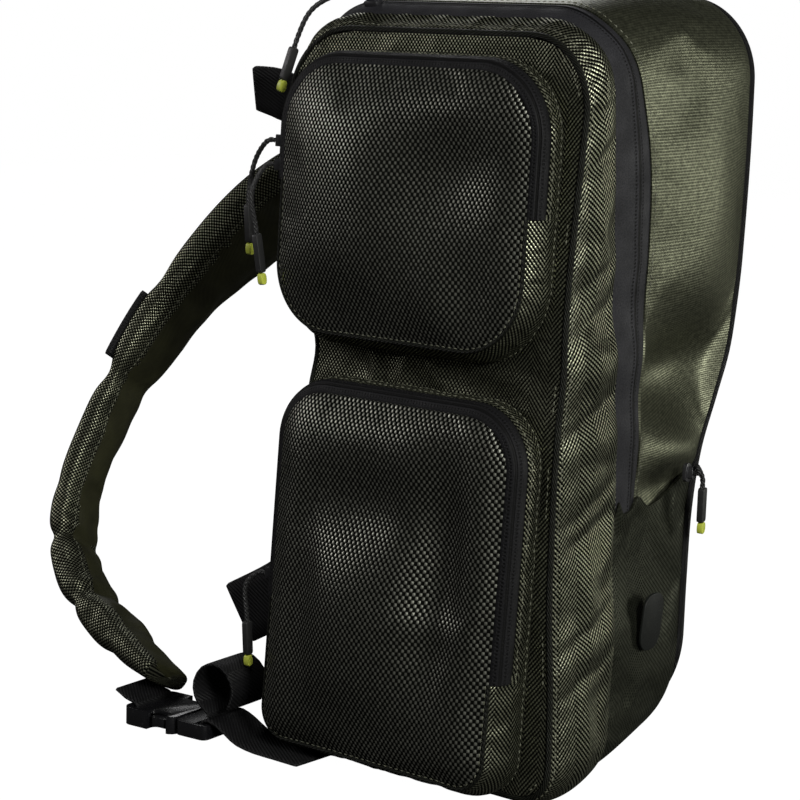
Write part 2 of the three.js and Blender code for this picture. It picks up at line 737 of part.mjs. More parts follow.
// The keeper is a stiff strip across the strap's outer face, along a short stretch of it.
const KEEPER = { from: 0.475, to: 0.54, widthShare: 0.9, thickness: 5, clear: 0.5 };
function strapKeeper() {
  const frames = bandFrames(STRAP, 100).filter(({ share }) => share >= KEEPER.from && share <= KEEPER.to);
  const corner = ({ centre, sideways, normal, width, thick }, [across, up]) => {
    const lift = (thick * 1.05) / 2 + KEEPER.clear + (KEEPER.thickness * (1 - up)) / 2;
    return centre
      .clone()
      .addScaledVector(normal, -lift)
      .addScaledVector(sideways, (across * width * KEEPER.widthShare) / 2);
  };
  return loft(frames.map((at) => FLAT_SECTION.map((place) => corner(at, place))));
}
add("strap_keeper", strapKeeper(), "webbing");

const ANCHOR = [
  { x: -37.7, y: 115.4, z: 399.1, turn: 90 },
  { x: -20, y: 115.2, z: 407, turn: 90 },
  { x: -4, y: 115, z: 414, turn: 90 },
];
add("strap_anchor", webbing(ANCHOR, 4, ANCHOR_WIDTH), "webbing");

// A place on a surface with its outward normal and the direction of the first parameter.
function seatOn(surface, a, b, outward) {
  const step = 0.004;
  const along = surface(a + step, b, 0).sub(surface(a - step, b, 0)).normalize();
  const across = surface(a, b + step, 0).sub(surface(a, b - step, 0)).normalize();
  const lifted = surface(a, b, 1).sub(surface(a, b, 0));
  const normal = new THREE.Vector3().crossVectors(along, across).normalize();
  if (normal.dot(lifted) < 0) normal.negate();
  return { place: surface(a, b, 0).addScaledVector(normal, outward), along, normal };
}

function standOn(mesh, { place, along, normal }) {
  const sideways = new THREE.Vector3().crossVectors(normal, along).normalize();
  const forward = new THREE.Vector3().crossVectors(sideways, normal);
  mesh.quaternion.setFromRotationMatrix(new THREE.Matrix4().makeBasis(forward, sideways, normal));
  mesh.position.copy(place);
}

// Loop share and depth share of a place on the right (side 1) or left (side -1) of the body.
function bodySeat(side, height, share, outward) {
  const loop = loopAtHeight(bodySection(share), height);
  return seatOn(bodyPoint, side > 0 ? loop : 1 - loop, share, outward);
}

// Folded webbing tabs sewn to the left edge, two layers thick: the sewn end, then free stations.
const TAB = { thickness: 3.6, standing: 7 };
const SIDE_TAB = {
  seat: { height: 84, share: 0.24, width: 38, clear: 3.2 },
  free: [
    { x: -126, y: -50, z: 73, width: 40, turn: 90 },
    { x: -150, y: -54, z: 59, width: 40, turn: 84 },
  ],
};
const TOP_TAB = {
  seat: { height: 377, share: 0.14, width: 30, clear: 0.1 },
  free: [
    { x: -134, y: -42, z: 383, width: 32, turn: 80 },
    { x: -152, y: -46, z: 386, width: 30, turn: 66 },
  ],
};

function tab({ seat, free }) {
  const { place, normal } = bodySeat(-1, seat.height, seat.share, seat.clear);
  const sewn = { width: seat.width, turn: 90 };
  const stations = [
    { ...place, ...sewn },
    { ...place.clone().addScaledVector(normal, TAB.standing), ...sewn },
    ...free,
  ];
  return band(stations.map((row) => ({ ...row, thickness: TAB.thickness })), 9, FLAT_SECTION);
}
add("side_tab", tab(SIDE_TAB), "webbing");
add("top_tab", tab(TOP_TAB), "webbing");

// Side-release buckle, built about its own middle, with the webbing on both its bars.
const buckle = new THREE.Group();
buckle.name = "buckle";
buckle.position.set(BUCKLE.x, BUCKLE.y, BUCKLE.z);
buckle.rotation.z = degToRad(BUCKLE.turn);
bag.add(buckle);

function blockAt(x, y, length, width, thickness, radius) {
  return roundedBlock(length, width, thickness, radius, 2).translate(x, y, 0);
}
const SOCKET_END = 8; // where the socket's mouth stands
const BUCKLE_HALF = 32;
const webbingSlot = BUCKLE.width - 5;

function buckleSocket() {
  const length = BUCKLE_HALF + SOCKET_END;
  const body = blockAt((SOCKET_END - BUCKLE_HALF) / 2, 0, length, BUCKLE.width, BUCKLE.thickness, 6);
  const slot = blockAt(-BUCKLE_HALF + BUCKLE.bar + BUCKLE.slot / 2, 0, BUCKLE.slot, webbingSlot, 30, 1);
  const mouth = blockAt(0, 0, 32, BUCKLE.width - 8, 6.4, 1);
  const rightWindow = blockAt(-5, BUCKLE.width / 2, 15, 15, 30, 4);
  const leftWindow = blockAt(-5, -BUCKLE.width / 2, 15, 15, 30, 4);
  return without(body, slot, mouth, rightWindow, leftWindow);
}

function buckleProng() {
  const start = SOCKET_END + 0.6;
  const body = blockAt((start + BUCKLE_HALF) / 2, 0, BUCKLE_HALF - start, BUCKLE.width - 2, 9, 4);
  const slot = blockAt(BUCKLE_HALF - BUCKLE.bar - BUCKLE.slot / 2, 0, BUCKLE.slot, webbingSlot, 30, 1);
  const guide = blockAt(2, 0, 24, 7, 5.4, 2);
  const arms = [-1, 1].map((side) => blockAt(2, side * 14.6, 26, 5, 5.4, 2));
  const buttons = [-1, 1].map((side) => blockAt(-5, side * 17.6, 11, 7, 5.4, 2.5));
  return without(joined(body, guide, ...arms, ...buttons), slot);
}
addTo(buckle, "buckle_socket", buckleSocket(), "plastic", 0.3);
addTo(buckle, "buckle_prong", buckleProng(), "plastic", 0.3);

const STRAP_WEBBING = [
  { x: -42, y: 0, z: 13 },
  { x: -38, y: 0, z: 11 },
  { x: -34, y: 0, z: 9 },
  { x: -30, y: 0, z: 7.9 },
  { x: -27, y: 0, z: 7.2 },
  { x: -25.2, y: 0, z: 5.4 },
  { x: -24.7, y: 0, z: 1.5 },
  { x: -24.7, y: 0, z: -4 },
];
const BASE_WEBBING = [
  { x: 24.7, y: 0, z: -4 },
  { x: 24.7, y: 0, z: 1.5 },
  { x: 26.4, y: 0, z: 5.4 },
  { x: 31, y: 0, z: 6.6 },
  { x: 40, y: 0, z: 3.4 },
  { x: 52, y: -1, z: -2.4 },
  { x: 66, y: -3, z: -4.2 },
  { x: 84, y: -5, z: -4.2 },
  { x: 104, y: -7, z: -4.2 },
];
const WEBBING_LOOP = [
  { x: 29, y: 2, z: 7.9 },
  { x: 28.6, y: 2, z: 10.5 },
  { x: 20, y: 2.5, z: 17 },
  { x: 17, y: 3, z: 27 },
  { x: 22, y: 3.5, z: 37 },
  { x: 32, y: 4, z: 41 },
  { x: 42, y: 4.5, z: 35 },
  { x: 45, y: 5, z: 25 },
  { x: 41, y: 5, z: 14 },
];
addTo(buckle, "strap_webbing", webbing(STRAP_WEBBING, 21), "webbing");
addTo(buckle, "base_webbing", webbing(BASE_WEBBING, 18), "webbing");
addTo(buckle, "webbing_loop", webbing(WEBBING_LOOP, 18), "webbing");

// The blank badge stands on the right side panel.
const BADGE = { height: 92, share: 0.64, length: 34, width: 22, thickness: 1.6, clear: 0.4 };
const badge = add("badge", roundedBlock(BADGE.length, BADGE.width, BADGE.thickness, 9, 2), "rubber", 0.5);
standOn(badge, bodySeat(1, BADGE.height, BADGE.share, BADGE.clear + BADGE.thickness / 2));

// A puller: slider, cord, moulded grip and bright tip, each standing clear of the next.
const point = ({ x, y, z }) => new THREE.Vector3(x, y, z);
const SLIDER = { length: 11, width: 7, plate: 2.4, bridge: 4.4, clear: 0.2 };

function sliderBody() {
  const plate = roundedBlock(SLIDER.length, SLIDER.width, SLIDER.plate, 2.5);
  const bridge = roundedBlock(7, 3, SLIDER.bridge, 1).translate(0, 0, SLIDER.bridge / 2);
  return joined(plate, bridge);
}

function sliderSeat({ on, loop, height, share }) {
  const lift = SLIDER.clear + SLIDER.plate / 2;
  if (on === "main_zip") return seatOn(bodyPoint, loop, zipShare(loop), lift);
  if (on === "hem") return bodySeat(1, height, share, lift + SEWN_GAP);
  const pocket = on === "upper_pocket" ? UPPER_POCKET : LOWER_POCKET;
  const surface = (a, b, outward) => pocketPoint(pocket, a, b, outward);
  return seatOn(surface, 1 - loopAtHeight(pocket.outline, height), POCKET_ZIP_STEPS[1], lift);
}

for (const { name, seat, way, grip, tip } of PULLERS) {
  const slider = sliderSeat(seat);
  standOn(add(`puller_${name}_slider`, sliderBody(), "metal", 0.4), slider);

  const top = point(grip);
  const end = point(tip);
  const fall = end.clone().sub(top).normalize();
  const leave = slider.place.clone().addScaledVector(slider.normal, SLIDER.bridge + SEWN_GAP);
  const stations = [
    leave,
    leave.clone().addScaledVector(slider.normal, 4),
    way,
    top.clone().addScaledVector(fall, -6),
    top.clone().addScaledVector(fall, -SEWN_GAP),
  ];
  const round = { width: 2 * CORD_RADIUS, thickness: 2 * CORD_RADIUS, turn: 0 };
  const cordStations = stations.map(({ x, y, z }) => ({ x, y, z, ...round }));
  add(`puller_${name}_cord`, band(cordStations, 10, ROUND_SECTION), "webbing");

  const hang = new THREE.Quaternion().setFromUnitVectors(new THREE.Vector3(1, 0, 0), fall);
  const gripLength = top.distanceTo(end) - GRIP.tip - SEWN_GAP;
  const gripShape = roundedBlock(gripLength, GRIP.width, GRIP.thickness, 1.6);
  const gripMesh = add(`puller_${name}_grip`, gripShape, "rubber", 0.6);
  gripMesh.quaternion.copy(hang);
  gripMesh.position.copy(top).addScaledVector(fall, gripLength / 2);
  const tipShape = roundedBlock(GRIP.tip, GRIP.width, GRIP.thickness, 2.4);
  const tipMesh = add(`puller_${name}_tip`, tipShape, "lime", 0.5);
  tipMesh.quaternion.copy(hang);
  tipMesh.position.copy(end).addScaledVector(fall, -GRIP.tip / 2);
}

export default bag;
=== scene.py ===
# %% [markdown]
# # A fishing rucksack on one padded strap
# The CAD solids are the fixed frame of this lesson. They give every piece its place, and
# their plain cloth is replaced, piece by piece, by cloth with a weave, seams and folds.
# Everything is in metres: +Z is up, -Y is the pocket side, +X the right side from there.

# %% Load the frame
import math
from contextlib import contextmanager
from functools import partial

import bpy
from mathutils import Matrix, Vector, noise


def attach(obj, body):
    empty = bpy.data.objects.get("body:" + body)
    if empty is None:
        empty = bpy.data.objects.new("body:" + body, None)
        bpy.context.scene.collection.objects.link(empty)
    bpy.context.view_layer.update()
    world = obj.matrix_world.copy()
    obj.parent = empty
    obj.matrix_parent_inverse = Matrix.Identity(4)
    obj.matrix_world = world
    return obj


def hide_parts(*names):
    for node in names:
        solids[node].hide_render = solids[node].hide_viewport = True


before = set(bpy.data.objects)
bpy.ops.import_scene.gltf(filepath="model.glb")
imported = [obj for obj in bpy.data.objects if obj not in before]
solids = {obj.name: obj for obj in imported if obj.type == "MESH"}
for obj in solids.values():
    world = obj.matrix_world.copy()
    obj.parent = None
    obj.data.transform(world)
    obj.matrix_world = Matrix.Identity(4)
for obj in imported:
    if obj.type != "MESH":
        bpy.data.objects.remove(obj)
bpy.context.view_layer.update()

# %% [markdown]
# ## Camera
# The picture was taken from the front right, a little above the bag and slightly rolled.
# A shifted lens could push the bag to the right of the frame, but other views keep the
# shift, so the camera is turned on its own spot instead.

# %% Camera
AZIMUTH, ELEVATION, ROLL = (math.radians(angle) for angle in (37, 9, 2))
DISTANCE = 1.4
AIM = Vector((0, 0, 0.215))
FRAME_PIXELS, FOCAL_PIXELS = 800, 2350
AIM_RIGHT, AIM_UP = 90, 12  # where the aim stands from the picture's middle, in pixels
SENSOR = 36

flat = math.cos(ELEVATION)
back = Vector((math.sin(AZIMUTH) * flat, -math.cos(AZIMUTH) * flat, math.sin(ELEVATION)))
right = Vector((math.cos(AZIMUTH), math.sin(AZIMUTH), 0))
level = Matrix((right, back.cross(right), back)).transposed()
turned = level @ Matrix.Rotation(ROLL, 3, "Z")
turned = turned @ Matrix.Rotation(math.atan(AIM_RIGHT / FOCAL_PIXELS), 3, "Y")
turned = turned @ Matrix.Rotation(-math.atan(AIM_UP / FOCAL_PIXELS), 3, "X")

bpy.ops.object.select_all(action="DESELECT")
bpy.ops.object.camera_add()
camera = bpy.context.object
camera.data.sensor_width = SENSOR
camera.data.lens = SENSOR * FOCAL_PIXELS / FRAME_PIXELS
camera.matrix_world = Matrix.Translation(AIM + DISTANCE * back) @ turned.to_4x4()
bpy.context.scene.camera = camera
bpy.context.scene.view_settings.view_transform = "Standard"
print("camera at", tuple(round(value, 3) for value in camera.location))

# %% [markdown]
# ## Building with nodes
# The studio's sky and every finish are small networks of nodes. They could be wired link by
# link, but these helpers put a node in a tree with its values or links in one line, so that
# each network below reads from its pattern to its shader.

# %% Node helpers
def set_all(thing, settings):
    for label, value in settings.items():
        setattr(thing, label, value)


def fill(tree, sockets, values):
    for socket, value in zip(sockets, values):
        if isinstance(value, bpy.types.NodeSocket):
            tree.links.new(value, socket)
        elif value is not None:
            socket.default_value = value


def fill_named(tree, node, **values):
    sockets = [node.inputs[label.replace("_", " ")] for label in values]
    fill(tree, sockets, values.values())


def put(tree, kind, *values, **settings):
    made = tree.nodes.new(kind)
    set_all(made, settings)
    fill(tree, made.inputs, values)
    return made


def calc(tree, operation, *values):
    return put(tree, "ShaderNodeMath", *values, operation=operation).outputs[0]


def blend(tree, share, low, high, **settings):
    made = put(tree, "ShaderNodeMix", share, data_type="RGBA", **settings)
    is_link = bpy.types.NodeSocket
    ends = [end if isinstance(end, is_link) else (*end, 1) for end in (low, high)]
    fill(tree, made.inputs[6:8], ends)
    return made.outputs[2]


def speckle(tree, vector, scale, detail=2.0):
    made = put(tree, "ShaderNodeTexNoise", vector)
    fill_named(tree, made, Scale=scale, Detail=detail)
    return made.outputs[0]


def remap(tree, value, *limits):
    return put(tree, "ShaderNodeMapRange", value, *limits).outputs[0]


def axes_of(tree, vector):
    return put(tree, "ShaderNodeSeparateXYZ", vector).outputs


def uv_place(tree):
    return put(tree, "ShaderNodeUVMap", uv_map="UVMap").outputs[0]


def object_place(tree):
    return put(tree, "ShaderNodeTexCoord").outputs["Object"]


def new_group(name, inputs, outputs):
    tree = bpy.data.node_groups.new(name, "ShaderNodeTree")
    for label, value in inputs:
        kind = "NodeSocketVector" if value is None else "NodeSocketFloat"
        socket = tree.interface.new_socket(label, in_out="INPUT", socket_type=kind)
        if value is not None:
            socket.default_value = value
    for label in outputs:
        tree.interface.new_socket(label, in_out="OUTPUT", socket_type="NodeSocketFloat")
    entry, leave = put(tree, "NodeGroupInput"), put(tree, "NodeGroupOutput")
    print("group", name)
    return tree, entry.outputs, leave.inputs


def use_group(tree, group, *values):
    return put(tree, "ShaderNodeGroup", *values, node_tree=group).outputs


# %% [markdown]
# ## Light and floor
# Dark cloth shows its form by its sheen, so wide soft lamps stand where the front, the
# gusset and the satin side mirror them. A bright world would light the bag from all sides
# and fill its dents, so the white backdrop is seen by the camera alone.

# %% Light and floor
LAMPS = [
    ("lamp_key", (-1.3, -0.72, 0.8), 0.5, 6, (1.0, 0.97, 0.98)),
    ("lamp_front", (0.85, -1.15, 1.5), 0.4, 8, (1.0, 0.98, 0.98)),
    ("lamp_front_right", (1.45, -0.7, 0.8), 0.4, 22, (1.0, 1.0, 0.96)),
    ("lamp_side", (1.15, 1.2, 0.3), 0.45, 6, (1.0, 1.0, 0.92)),
    ("lamp_back", (-1.0, 1.1, 1.3), 0.6, 6, (1.0, 1.0, 1.0)),
]
for name, place, size, watts, colour in LAMPS:
    bpy.ops.object.light_add(type="AREA", location=place)
    lamp = bpy.context.object
    lamp.name = name
    lamp.data.size, lamp.data.energy, lamp.data.color = size, watts, colour
    lamp.rotation_euler = (AIM - Vector(place)).to_track_quat("-Z", "Y").to_euler()

AMBIENT, BACKDROP, FLOOR_SIZE = 0.012, 1.0, 8
COOL_WHITE, WHITE = (0.96, 0.98, 1, 1), (1, 1, 1, 1)
world = bpy.data.worlds.new("studio")
bpy.context.scene.world = world
world.use_nodes = True
sky = world.node_tree
sky.nodes.clear()
lit = put(sky, "ShaderNodeBackground", COOL_WHITE, AMBIENT).outputs[0]
seen = put(sky, "ShaderNodeBackground", WHITE, BACKDROP).outputs[0]
ray = put(sky, "ShaderNodeLightPath").outputs["Is Camera Ray"]
put(sky, "ShaderNodeOutputWorld", put(sky, "ShaderNodeMixShader", ray, lit, seen).outputs[0])

bpy.ops.object.select_all(action="DESELECT")
bpy.ops.mesh.primitive_plane_add(size=FLOOR_SIZE)
floor = bpy.context.object
floor.name = "studio_floor"
print("lamps", len(LAMPS))

# %% [markdown]
# ## The patterns that the finishes share
# The coarse nylon shows bright floats of thread in a chequered layout on a dark ground. Two
# crossed waves give that layout, and they are kept as their two diagonal parts: on strips
# that are cut on the cross one diagonal shows more than the other, in columns that point
# up like a herringbone. Seen flat along a row, the floats join into lines instead. A chequer
# texture could not lean or join this way, so the waves are written out as sums.

# %% Coarse weave group
THREAD_GRAIN, FLOAT_ROUND, WEFT_HEIGHT = 330, 0.9, 0.4
weave_group, into, out_of = new_group(
    "coarse weave",
    [("Place", None), ("Thread across", 0.0016), ("Thread up", 0.0021), ("Chevron", 0.0),
     ("Column", 0.011), ("Row", 0.0)],
    ["Float", "Height", "Tone"],
)
axes = axes_of(weave_group, into["Place"])
do, span = partial(calc, weave_group), partial(remap, weave_group)


def turn(value, step):
    return do("MULTIPLY", do("DIVIDE", value, step), math.pi)


turn_x, turn_y = turn(axes[0], into["Thread across"]), turn(axes[1], into["Thread up"])
side_of = do("SINE", turn(axes[0], into["Column"]))
lean = do("MULTIPLY", span(side_of, -0.25, 0.25, -1, 1), into["Chevron"])
rising = do("COSINE", do("SUBTRACT", turn_x, turn_y))
falling = do("COSINE", do("ADD", turn_x, turn_y))
cross = do("SUBTRACT", do("MULTIPLY", rising, do("ADD", 0.5, lean)),
           do("MULTIPLY", falling, do("SUBTRACT", 0.5, lean)))
warp = do("POWER", do("MAXIMUM", cross, 0.0), FLOAT_ROUND)
weft = do("MAXIMUM", do("MULTIPLY", cross, -1.0), 0.0)
line = span(do("COSINE", do("MULTIPLY", turn_y, 2.0)), -0.6, 1, 0, 0.8)
joined = put(weave_group, "ShaderNodeMix", into["Row"])
fill(weave_group, joined.inputs[2:4], (warp, line))
height = do("MULTIPLY_ADD", weft, WEFT_HEIGHT, joined.outputs[0])
tone = span(speckle(weave_group, into["Place"], THREAD_GRAIN, 1), 0.3, 0.7, 0.7, 1.25)
fill(weave_group, out_of, (joined.outputs[0], height, tone))

# %% [markdown]
# Fine slanting ribs make the lining of the strap. The same group, set finer or coarser, ribs
# the webbing, the corded seams and the zip tape. A wave texture could draw them too, but it
# takes no pitch in metres, so the sine is written out.

# %% Rib group
FIBRE, STREAK = 900, 60
rib_group, into, out_of = new_group(
    "fine ribs", [("Place", None), ("Pitch", 0.0013), ("Slope", 0.8)], ["Rib", "Height", "Streak"]
)
axes = axes_of(rib_group, into["Place"])
do = partial(calc, rib_group)
slant = do("MULTIPLY_ADD", axes[1], into["Slope"], axes[0])
phase = do("MULTIPLY", do("DIVIDE", slant, into["Pitch"]), 2 * math.pi)
rib = do("MULTIPLY_ADD", do("SINE", phase), 0.5, 0.5)
height = do("MULTIPLY_ADD", speckle(rib_group, into["Place"], FIBRE, 1), 0.5, rib)
streak = remap(rib_group, speckle(rib_group, into["Place"], STREAK, 3), 0.3, 0.7, 0.75, 1.2)
fill(rib_group, out_of, (rib, height, streak))

# %% [markdown]
# Handled cloth is never one tone. Soft clouds of lighter and darker dye and a little dust
# come from noise. It could lie on the UV map, but on the object's own coordinates the clouds
# don't follow the seams, as real wear doesn't.

# %% Wear group
DUST = 420
wear_group, into, out_of = new_group(
    "uneven dye", [("Cloud size", 14.0), ("Depth", 0.35)], ["Tone", "Dust"]
)
spot = object_place(wear_group)
do = partial(calc, wear_group)
cloud = speckle(wear_group, spot, into["Cloud size"], 3)
swing = do("MULTIPLY", do("SUBTRACT", cloud, 0.5), into["Depth"])
dust = remap(wear_group, speckle(wear_group, spot, DUST, 2), 0.62, 0.8, 0, 1)
fill(wear_group, out_of, (do("MULTIPLY_ADD", swing, 2.0, 1.0), dust))

# %% [markdown]
# ## The finishes
# Each material keeps its own shader; the groups only bring it colours, masks and heights.

# %% Finish helpers
def start_finish(name):
    material = bpy.data.materials.new(name)
    material.use_nodes = True
    tree = material.node_tree
    print("finish", name)
    return material, tree, tree.nodes["Principled BSDF"]


def tint(tree, colour, *tones):
    for tone in tones:
        level = put(tree, "ShaderNodeCombineColor", tone, tone, tone).outputs[0]
        colour = blend(tree, 1.0, colour, level, blend_type="MULTIPLY")
    return colour


def close_finish(tree, shader, colour, rough, height, depth, **others):
    bump = put(tree, "ShaderNodeBump")
    fill_named(tree, bump, Strength=1.0, Distance=depth, Height=height)
    fill_named(tree, shader, Base_Color=colour, Roughness=rough, Normal=bump.outputs[0], **others)


# %% [markdown]
# Coarse nylon covers the pockets, the front and the strap, and, set finer, makes the satin of
# the sides. A light cloth colour would look painted, because real nylon is dark and only its
# thread floats flash. So the ground is nearly black, and the floats are shiny as metal and
# mirror the lamps.

# %% Coarse nylon
FACE_PITCH, STRIP_PITCH, SATIN_PITCH = (0.00158, 0.0021), (0.0012, 0.0015), (0.0012, 0.0017)
CHEVRON_COLUMN, CHEVRON_EASE = 0.0115, 0.004
NYLON_CLOUDS, NYLON_RELIEF, THREAD_GLEAM = (16.0, 0.3), 0.00012, 0.94


def coarse_nylon(name, thread, ground, pitch=FACE_PITCH, chevron=0.0, chevron_from=None,
                 even=0.0, row=0.0, gloss=0.38, dull=0.8):
    material, tree, shader = start_finish(name)
    place = uv_place(tree)
    if chevron_from is not None:
        ease = (chevron_from, chevron_from + CHEVRON_EASE)
        chevron = remap(tree, axes_of(tree, place)[0], *ease, 0.0, chevron)
    weave = use_group(tree, weave_group, place, *pitch, chevron, CHEVRON_COLUMN, row)
    wear = use_group(tree, wear_group, *NYLON_CLOUDS)
    colour = blend(tree, weave["Float"], ground, thread)
    colour = tint(tree, colour, weave["Tone"], wear["Tone"])
    rough = remap(tree, weave["Float"], 0, 0.6, dull, gloss)
    metal = remap(tree, weave["Float"], 0.02, 0.3, even, THREAD_GLEAM)
    close_finish(tree, shader, colour, rough, weave["Height"], NYLON_RELIEF, Metallic=metal,
                 Specular_IOR_Level=0.03)
    return material


GREY_THREAD, OLIVE_THREAD = (0.38, 0.385, 0.33), (0.36, 0.37, 0.265)
OLIVE_GROUND = (0.0015, 0.0018, 0.0012)
pouch_cloth = coarse_nylon("coarse_nylon_face", GREY_THREAD, OLIVE_GROUND)
strip = partial(coarse_nylon, thread=OLIVE_THREAD, ground=OLIVE_GROUND, pitch=STRIP_PITCH)
panel_cloth = strip("coarse_nylon_panel", chevron=0.2, chevron_from=0.066)
strip_cloth = strip("coarse_nylon_strip", chevron=0.2)
strap_cloth = strip("coarse_nylon_strap")
side_satin = coarse_nylon("olive_satin", (0.21, 0.218, 0.15), (0.06, 0.063, 0.043), SATIN_PITCH,
                          even=0.8, row=0.75, gloss=0.45, dull=0.5)
# The satin below the hem is the same cloth as the side's satin; its colours are darkened here as
# painted shade, because light falls from above.
shaded_low_satin = coarse_nylon("satin_painted_shade", (0.11, 0.115, 0.085), (0.006, 0.007, 0.0045),
                         STRIP_PITCH, row=0.4)

# %% [markdown]
# The back is a knitted mesh over foam. Its holes could be cut in the mesh, but there are
# thousands, so the weave group's floats, set wider, are taken as the holes: they are dark
# and sunk.

# %% Spacer mesh
HOLE_PITCH, HOLE_DEPTH, MESH_CLOUDS = (0.0024, 0.0028), 0.0007, (22.0, 0.3)
MESH_BLACK, HOLE_BLACK = (0.02, 0.021, 0.019), (0.0015, 0.0015, 0.0015)
back_mesh, tree, shader = start_finish("spacer_mesh")
holes = use_group(tree, weave_group, uv_place(tree), *HOLE_PITCH, 0.0, CHEVRON_COLUMN, 0.0)
wear = use_group(tree, wear_group, *MESH_CLOUDS)
hole = remap(tree, holes["Float"], 0.25, 0.55, 0, 1)
colour = tint(tree, blend(tree, hole, MESH_BLACK, HOLE_BLACK), holes["Tone"], wear["Tone"])
rough = remap(tree, hole, 0, 1, 0.6, 0.9)
sunk = calc(tree, "MULTIPLY", hole, -1.0)
close_finish(tree, shader, colour, rough, sunk, HOLE_DEPTH, Specular_IOR_Level=0.3)

# %% [markdown]
# The strap's lining, the webbing, the corded seams and the threads are all fine ribs, and
# differ in pitch, slope and gloss. One function makes them, so they stay alike where they
# should.

# %% Satin and webbing
RIB_CLOUDS, STREAK_RANGE = (11.0, 0.35), (0.7, 1.2)


def ribbed(name, light, dark, pitch, slope, depth, rough_low, rough_high, **others):
    material, tree, shader = start_finish(name)
    ribs = use_group(tree, rib_group, uv_place(tree), pitch, slope)
    wear = use_group(tree, wear_group, *RIB_CLOUDS)
    colour = tint(tree, blend(tree, ribs["Rib"], dark, light), ribs["Streak"], wear["Tone"])
    rough = remap(tree, ribs["Streak"], *STREAK_RANGE, rough_high, rough_low)
    close_finish(tree, shader, colour, rough, ribs["Height"], depth, **others)
    return material


strap_lining = ribbed("strap_lining", (0.03, 0.03, 0.014), (0.013, 0.0135, 0.006),
                      0.0012, 0.6, 0.0001, 0.4, 0.55, Specular_IOR_Level=0.15)
black_webbing = ribbed("black_webbing", (0.006, 0.006, 0.0065), (0.002, 0.002, 0.0024),
                       0.0017, 1.4, 0.0004, 0.5, 0.75, Specular_IOR_Level=0.25)
# The seam cord is covered in the same nylon as the cloth beside it; its colours are set far darker
# as painted shade of the seam's groove.
seam_cord = ribbed("seam_cord", (0.012, 0.013, 0.009), (0.0015, 0.002, 0.0012),
                   0.0032, 2.2, 0.0005, 0.5, 0.7, Specular_IOR_Level=0.15)
puller_cord = ribbed("puller_cord", (0.02, 0.02, 0.02), (0.002, 0.002, 0.0025),
                     0.0026, 1.6, 0.0004, 0.45, 0.7)
sewing_thread = ribbed("sewing_thread", (0.17, 0.175, 0.12), (0.06, 0.062, 0.045),
                       0.0007, 1.0, 0.0001, 0.5, 0.65)

# %% [markdown]
# A zip is a charcoal tape that is closed over its coil. What shows is the dark slit in the
# middle and a row of small stitches on each side of it. Modelled teeth would be far too
# many faces, so slit and stitches are drawn on the tape's own UV map, whose second value
# runs across the tape.

# %% Zip finish
MAIN_TAPE, POCKET_TAPE, COIL_AT = 0.024, 0.014, 0.62
SLIT_TO_STITCH, ZIP_STITCH, ZIP_RELIEF = 0.0024, 0.0021, 0.0005
SLIT_EDGE, HOLE_EDGE, ZIP_RIB, PILE = (0.0004, 0.001), (0.0003, 0.0007), 0.0011, 1100
SLIT_BLACK = (0.001, 0.001, 0.001)


def zip_finish(name, width, light, dark):
    material, tree, shader = start_finish(name)
    do, span = partial(calc, tree), partial(remap, tree)
    place = uv_place(tree)
    axes = axes_of(tree, place)
    away = do("ABSOLUTE", do("SUBTRACT", axes[1], width * COIL_AT))
    slit = span(away, *SLIT_EDGE, 1, 0)
    beside = span(do("ABSOLUTE", do("SUBTRACT", away, SLIT_TO_STITCH)), *HOLE_EDGE, 1, 0)
    beat = do("SINE", do("MULTIPLY", axes[0], 2 * math.pi / ZIP_STITCH))
    holes = do("MULTIPLY", beside, span(beat, -0.2, 0.5, 0, 1))
    pile = speckle(tree, place, PILE, 2)
    ribs = use_group(tree, rib_group, place, ZIP_RIB, 0.0)
    colour = tint(tree, blend(tree, span(pile, 0.35, 0.65, 0, 1), dark, light), ribs["Streak"])
    shut = do("MAXIMUM", slit, do("MULTIPLY", holes, 0.85))
    colour = blend(tree, shut, colour, SLIT_BLACK)
    height = do("SUBTRACT", do("MULTIPLY", pile, 0.4), shut)
    rough = span(ribs["Streak"], *STREAK_RANGE, 0.7, 0.52)
    close_finish(tree, shader, colour, rough, height, ZIP_RELIEF, Specular_IOR_Level=0.15)
    return material


main_zip_finish = zip_finish("main_zip_tape", MAIN_TAPE, (0.026, 0.026, 0.029),
                             (0.013, 0.013, 0.015))
pocket_zip_finish = zip_finish("pocket_zip_tape", POCKET_TAPE, (0.011, 0.011, 0.012),
                               (0.004, 0.004, 0.0045))

# %% [markdown]
# Buckle, sliders, grips, tips and badge are moulded or cast. A plain gloss would look new
# and false, so fine pits break up their shine and a little dust lightens them.

# %% Moulded finishes
MOULD_CLOUDS, DUST_GAIN, DUST_LIFT = (60.0, 0.25), 1.5, 0.01


def moulded(name, colour, rough, grain, depth, **others):
    material, tree, shader = start_finish(name)
    wear = use_group(tree, wear_group, *MOULD_CLOUDS)
    pits = speckle(tree, object_place(tree), grain, 2)
    dusty = [min(1, value * DUST_GAIN + DUST_LIFT) for value in colour]
    shade = tint(tree, blend(tree, wear["Dust"], colour, dusty), wear["Tone"])
    rough_map = remap(tree, pits, 0.3, 0.7, rough * 0.8, rough * 1.25)
    close_finish(tree, shader, shade, rough_map, pits, depth, **others)
    return material


gloss_plastic = moulded("black_plastic", (0.006, 0.006, 0.007), 0.24, 900, 0.00004)
black_enamel = moulded("black_enamel", (0.03, 0.03, 0.032), 0.34, 700, 0.00004, Metallic=0.4)
matt_rubber = moulded("matt_rubber", (0.016, 0.016, 0.016), 0.5, 1200, 0.00008)
lime_rubber = moulded("lime_rubber", (0.5, 0.56, 0.07), 0.42, 1200, 0.00006)
badge_rubber = moulded("badge_rubber", (0.006, 0.007, 0.006), 0.5, 800, 0.0001,
                       Specular_IOR_Level=0.3)

# %% [markdown]
# The floor is part of the studio and not of the bag. The camera sees it nearly as white as
# the backdrop, and only the faint shadow under the bag shows where it lies.

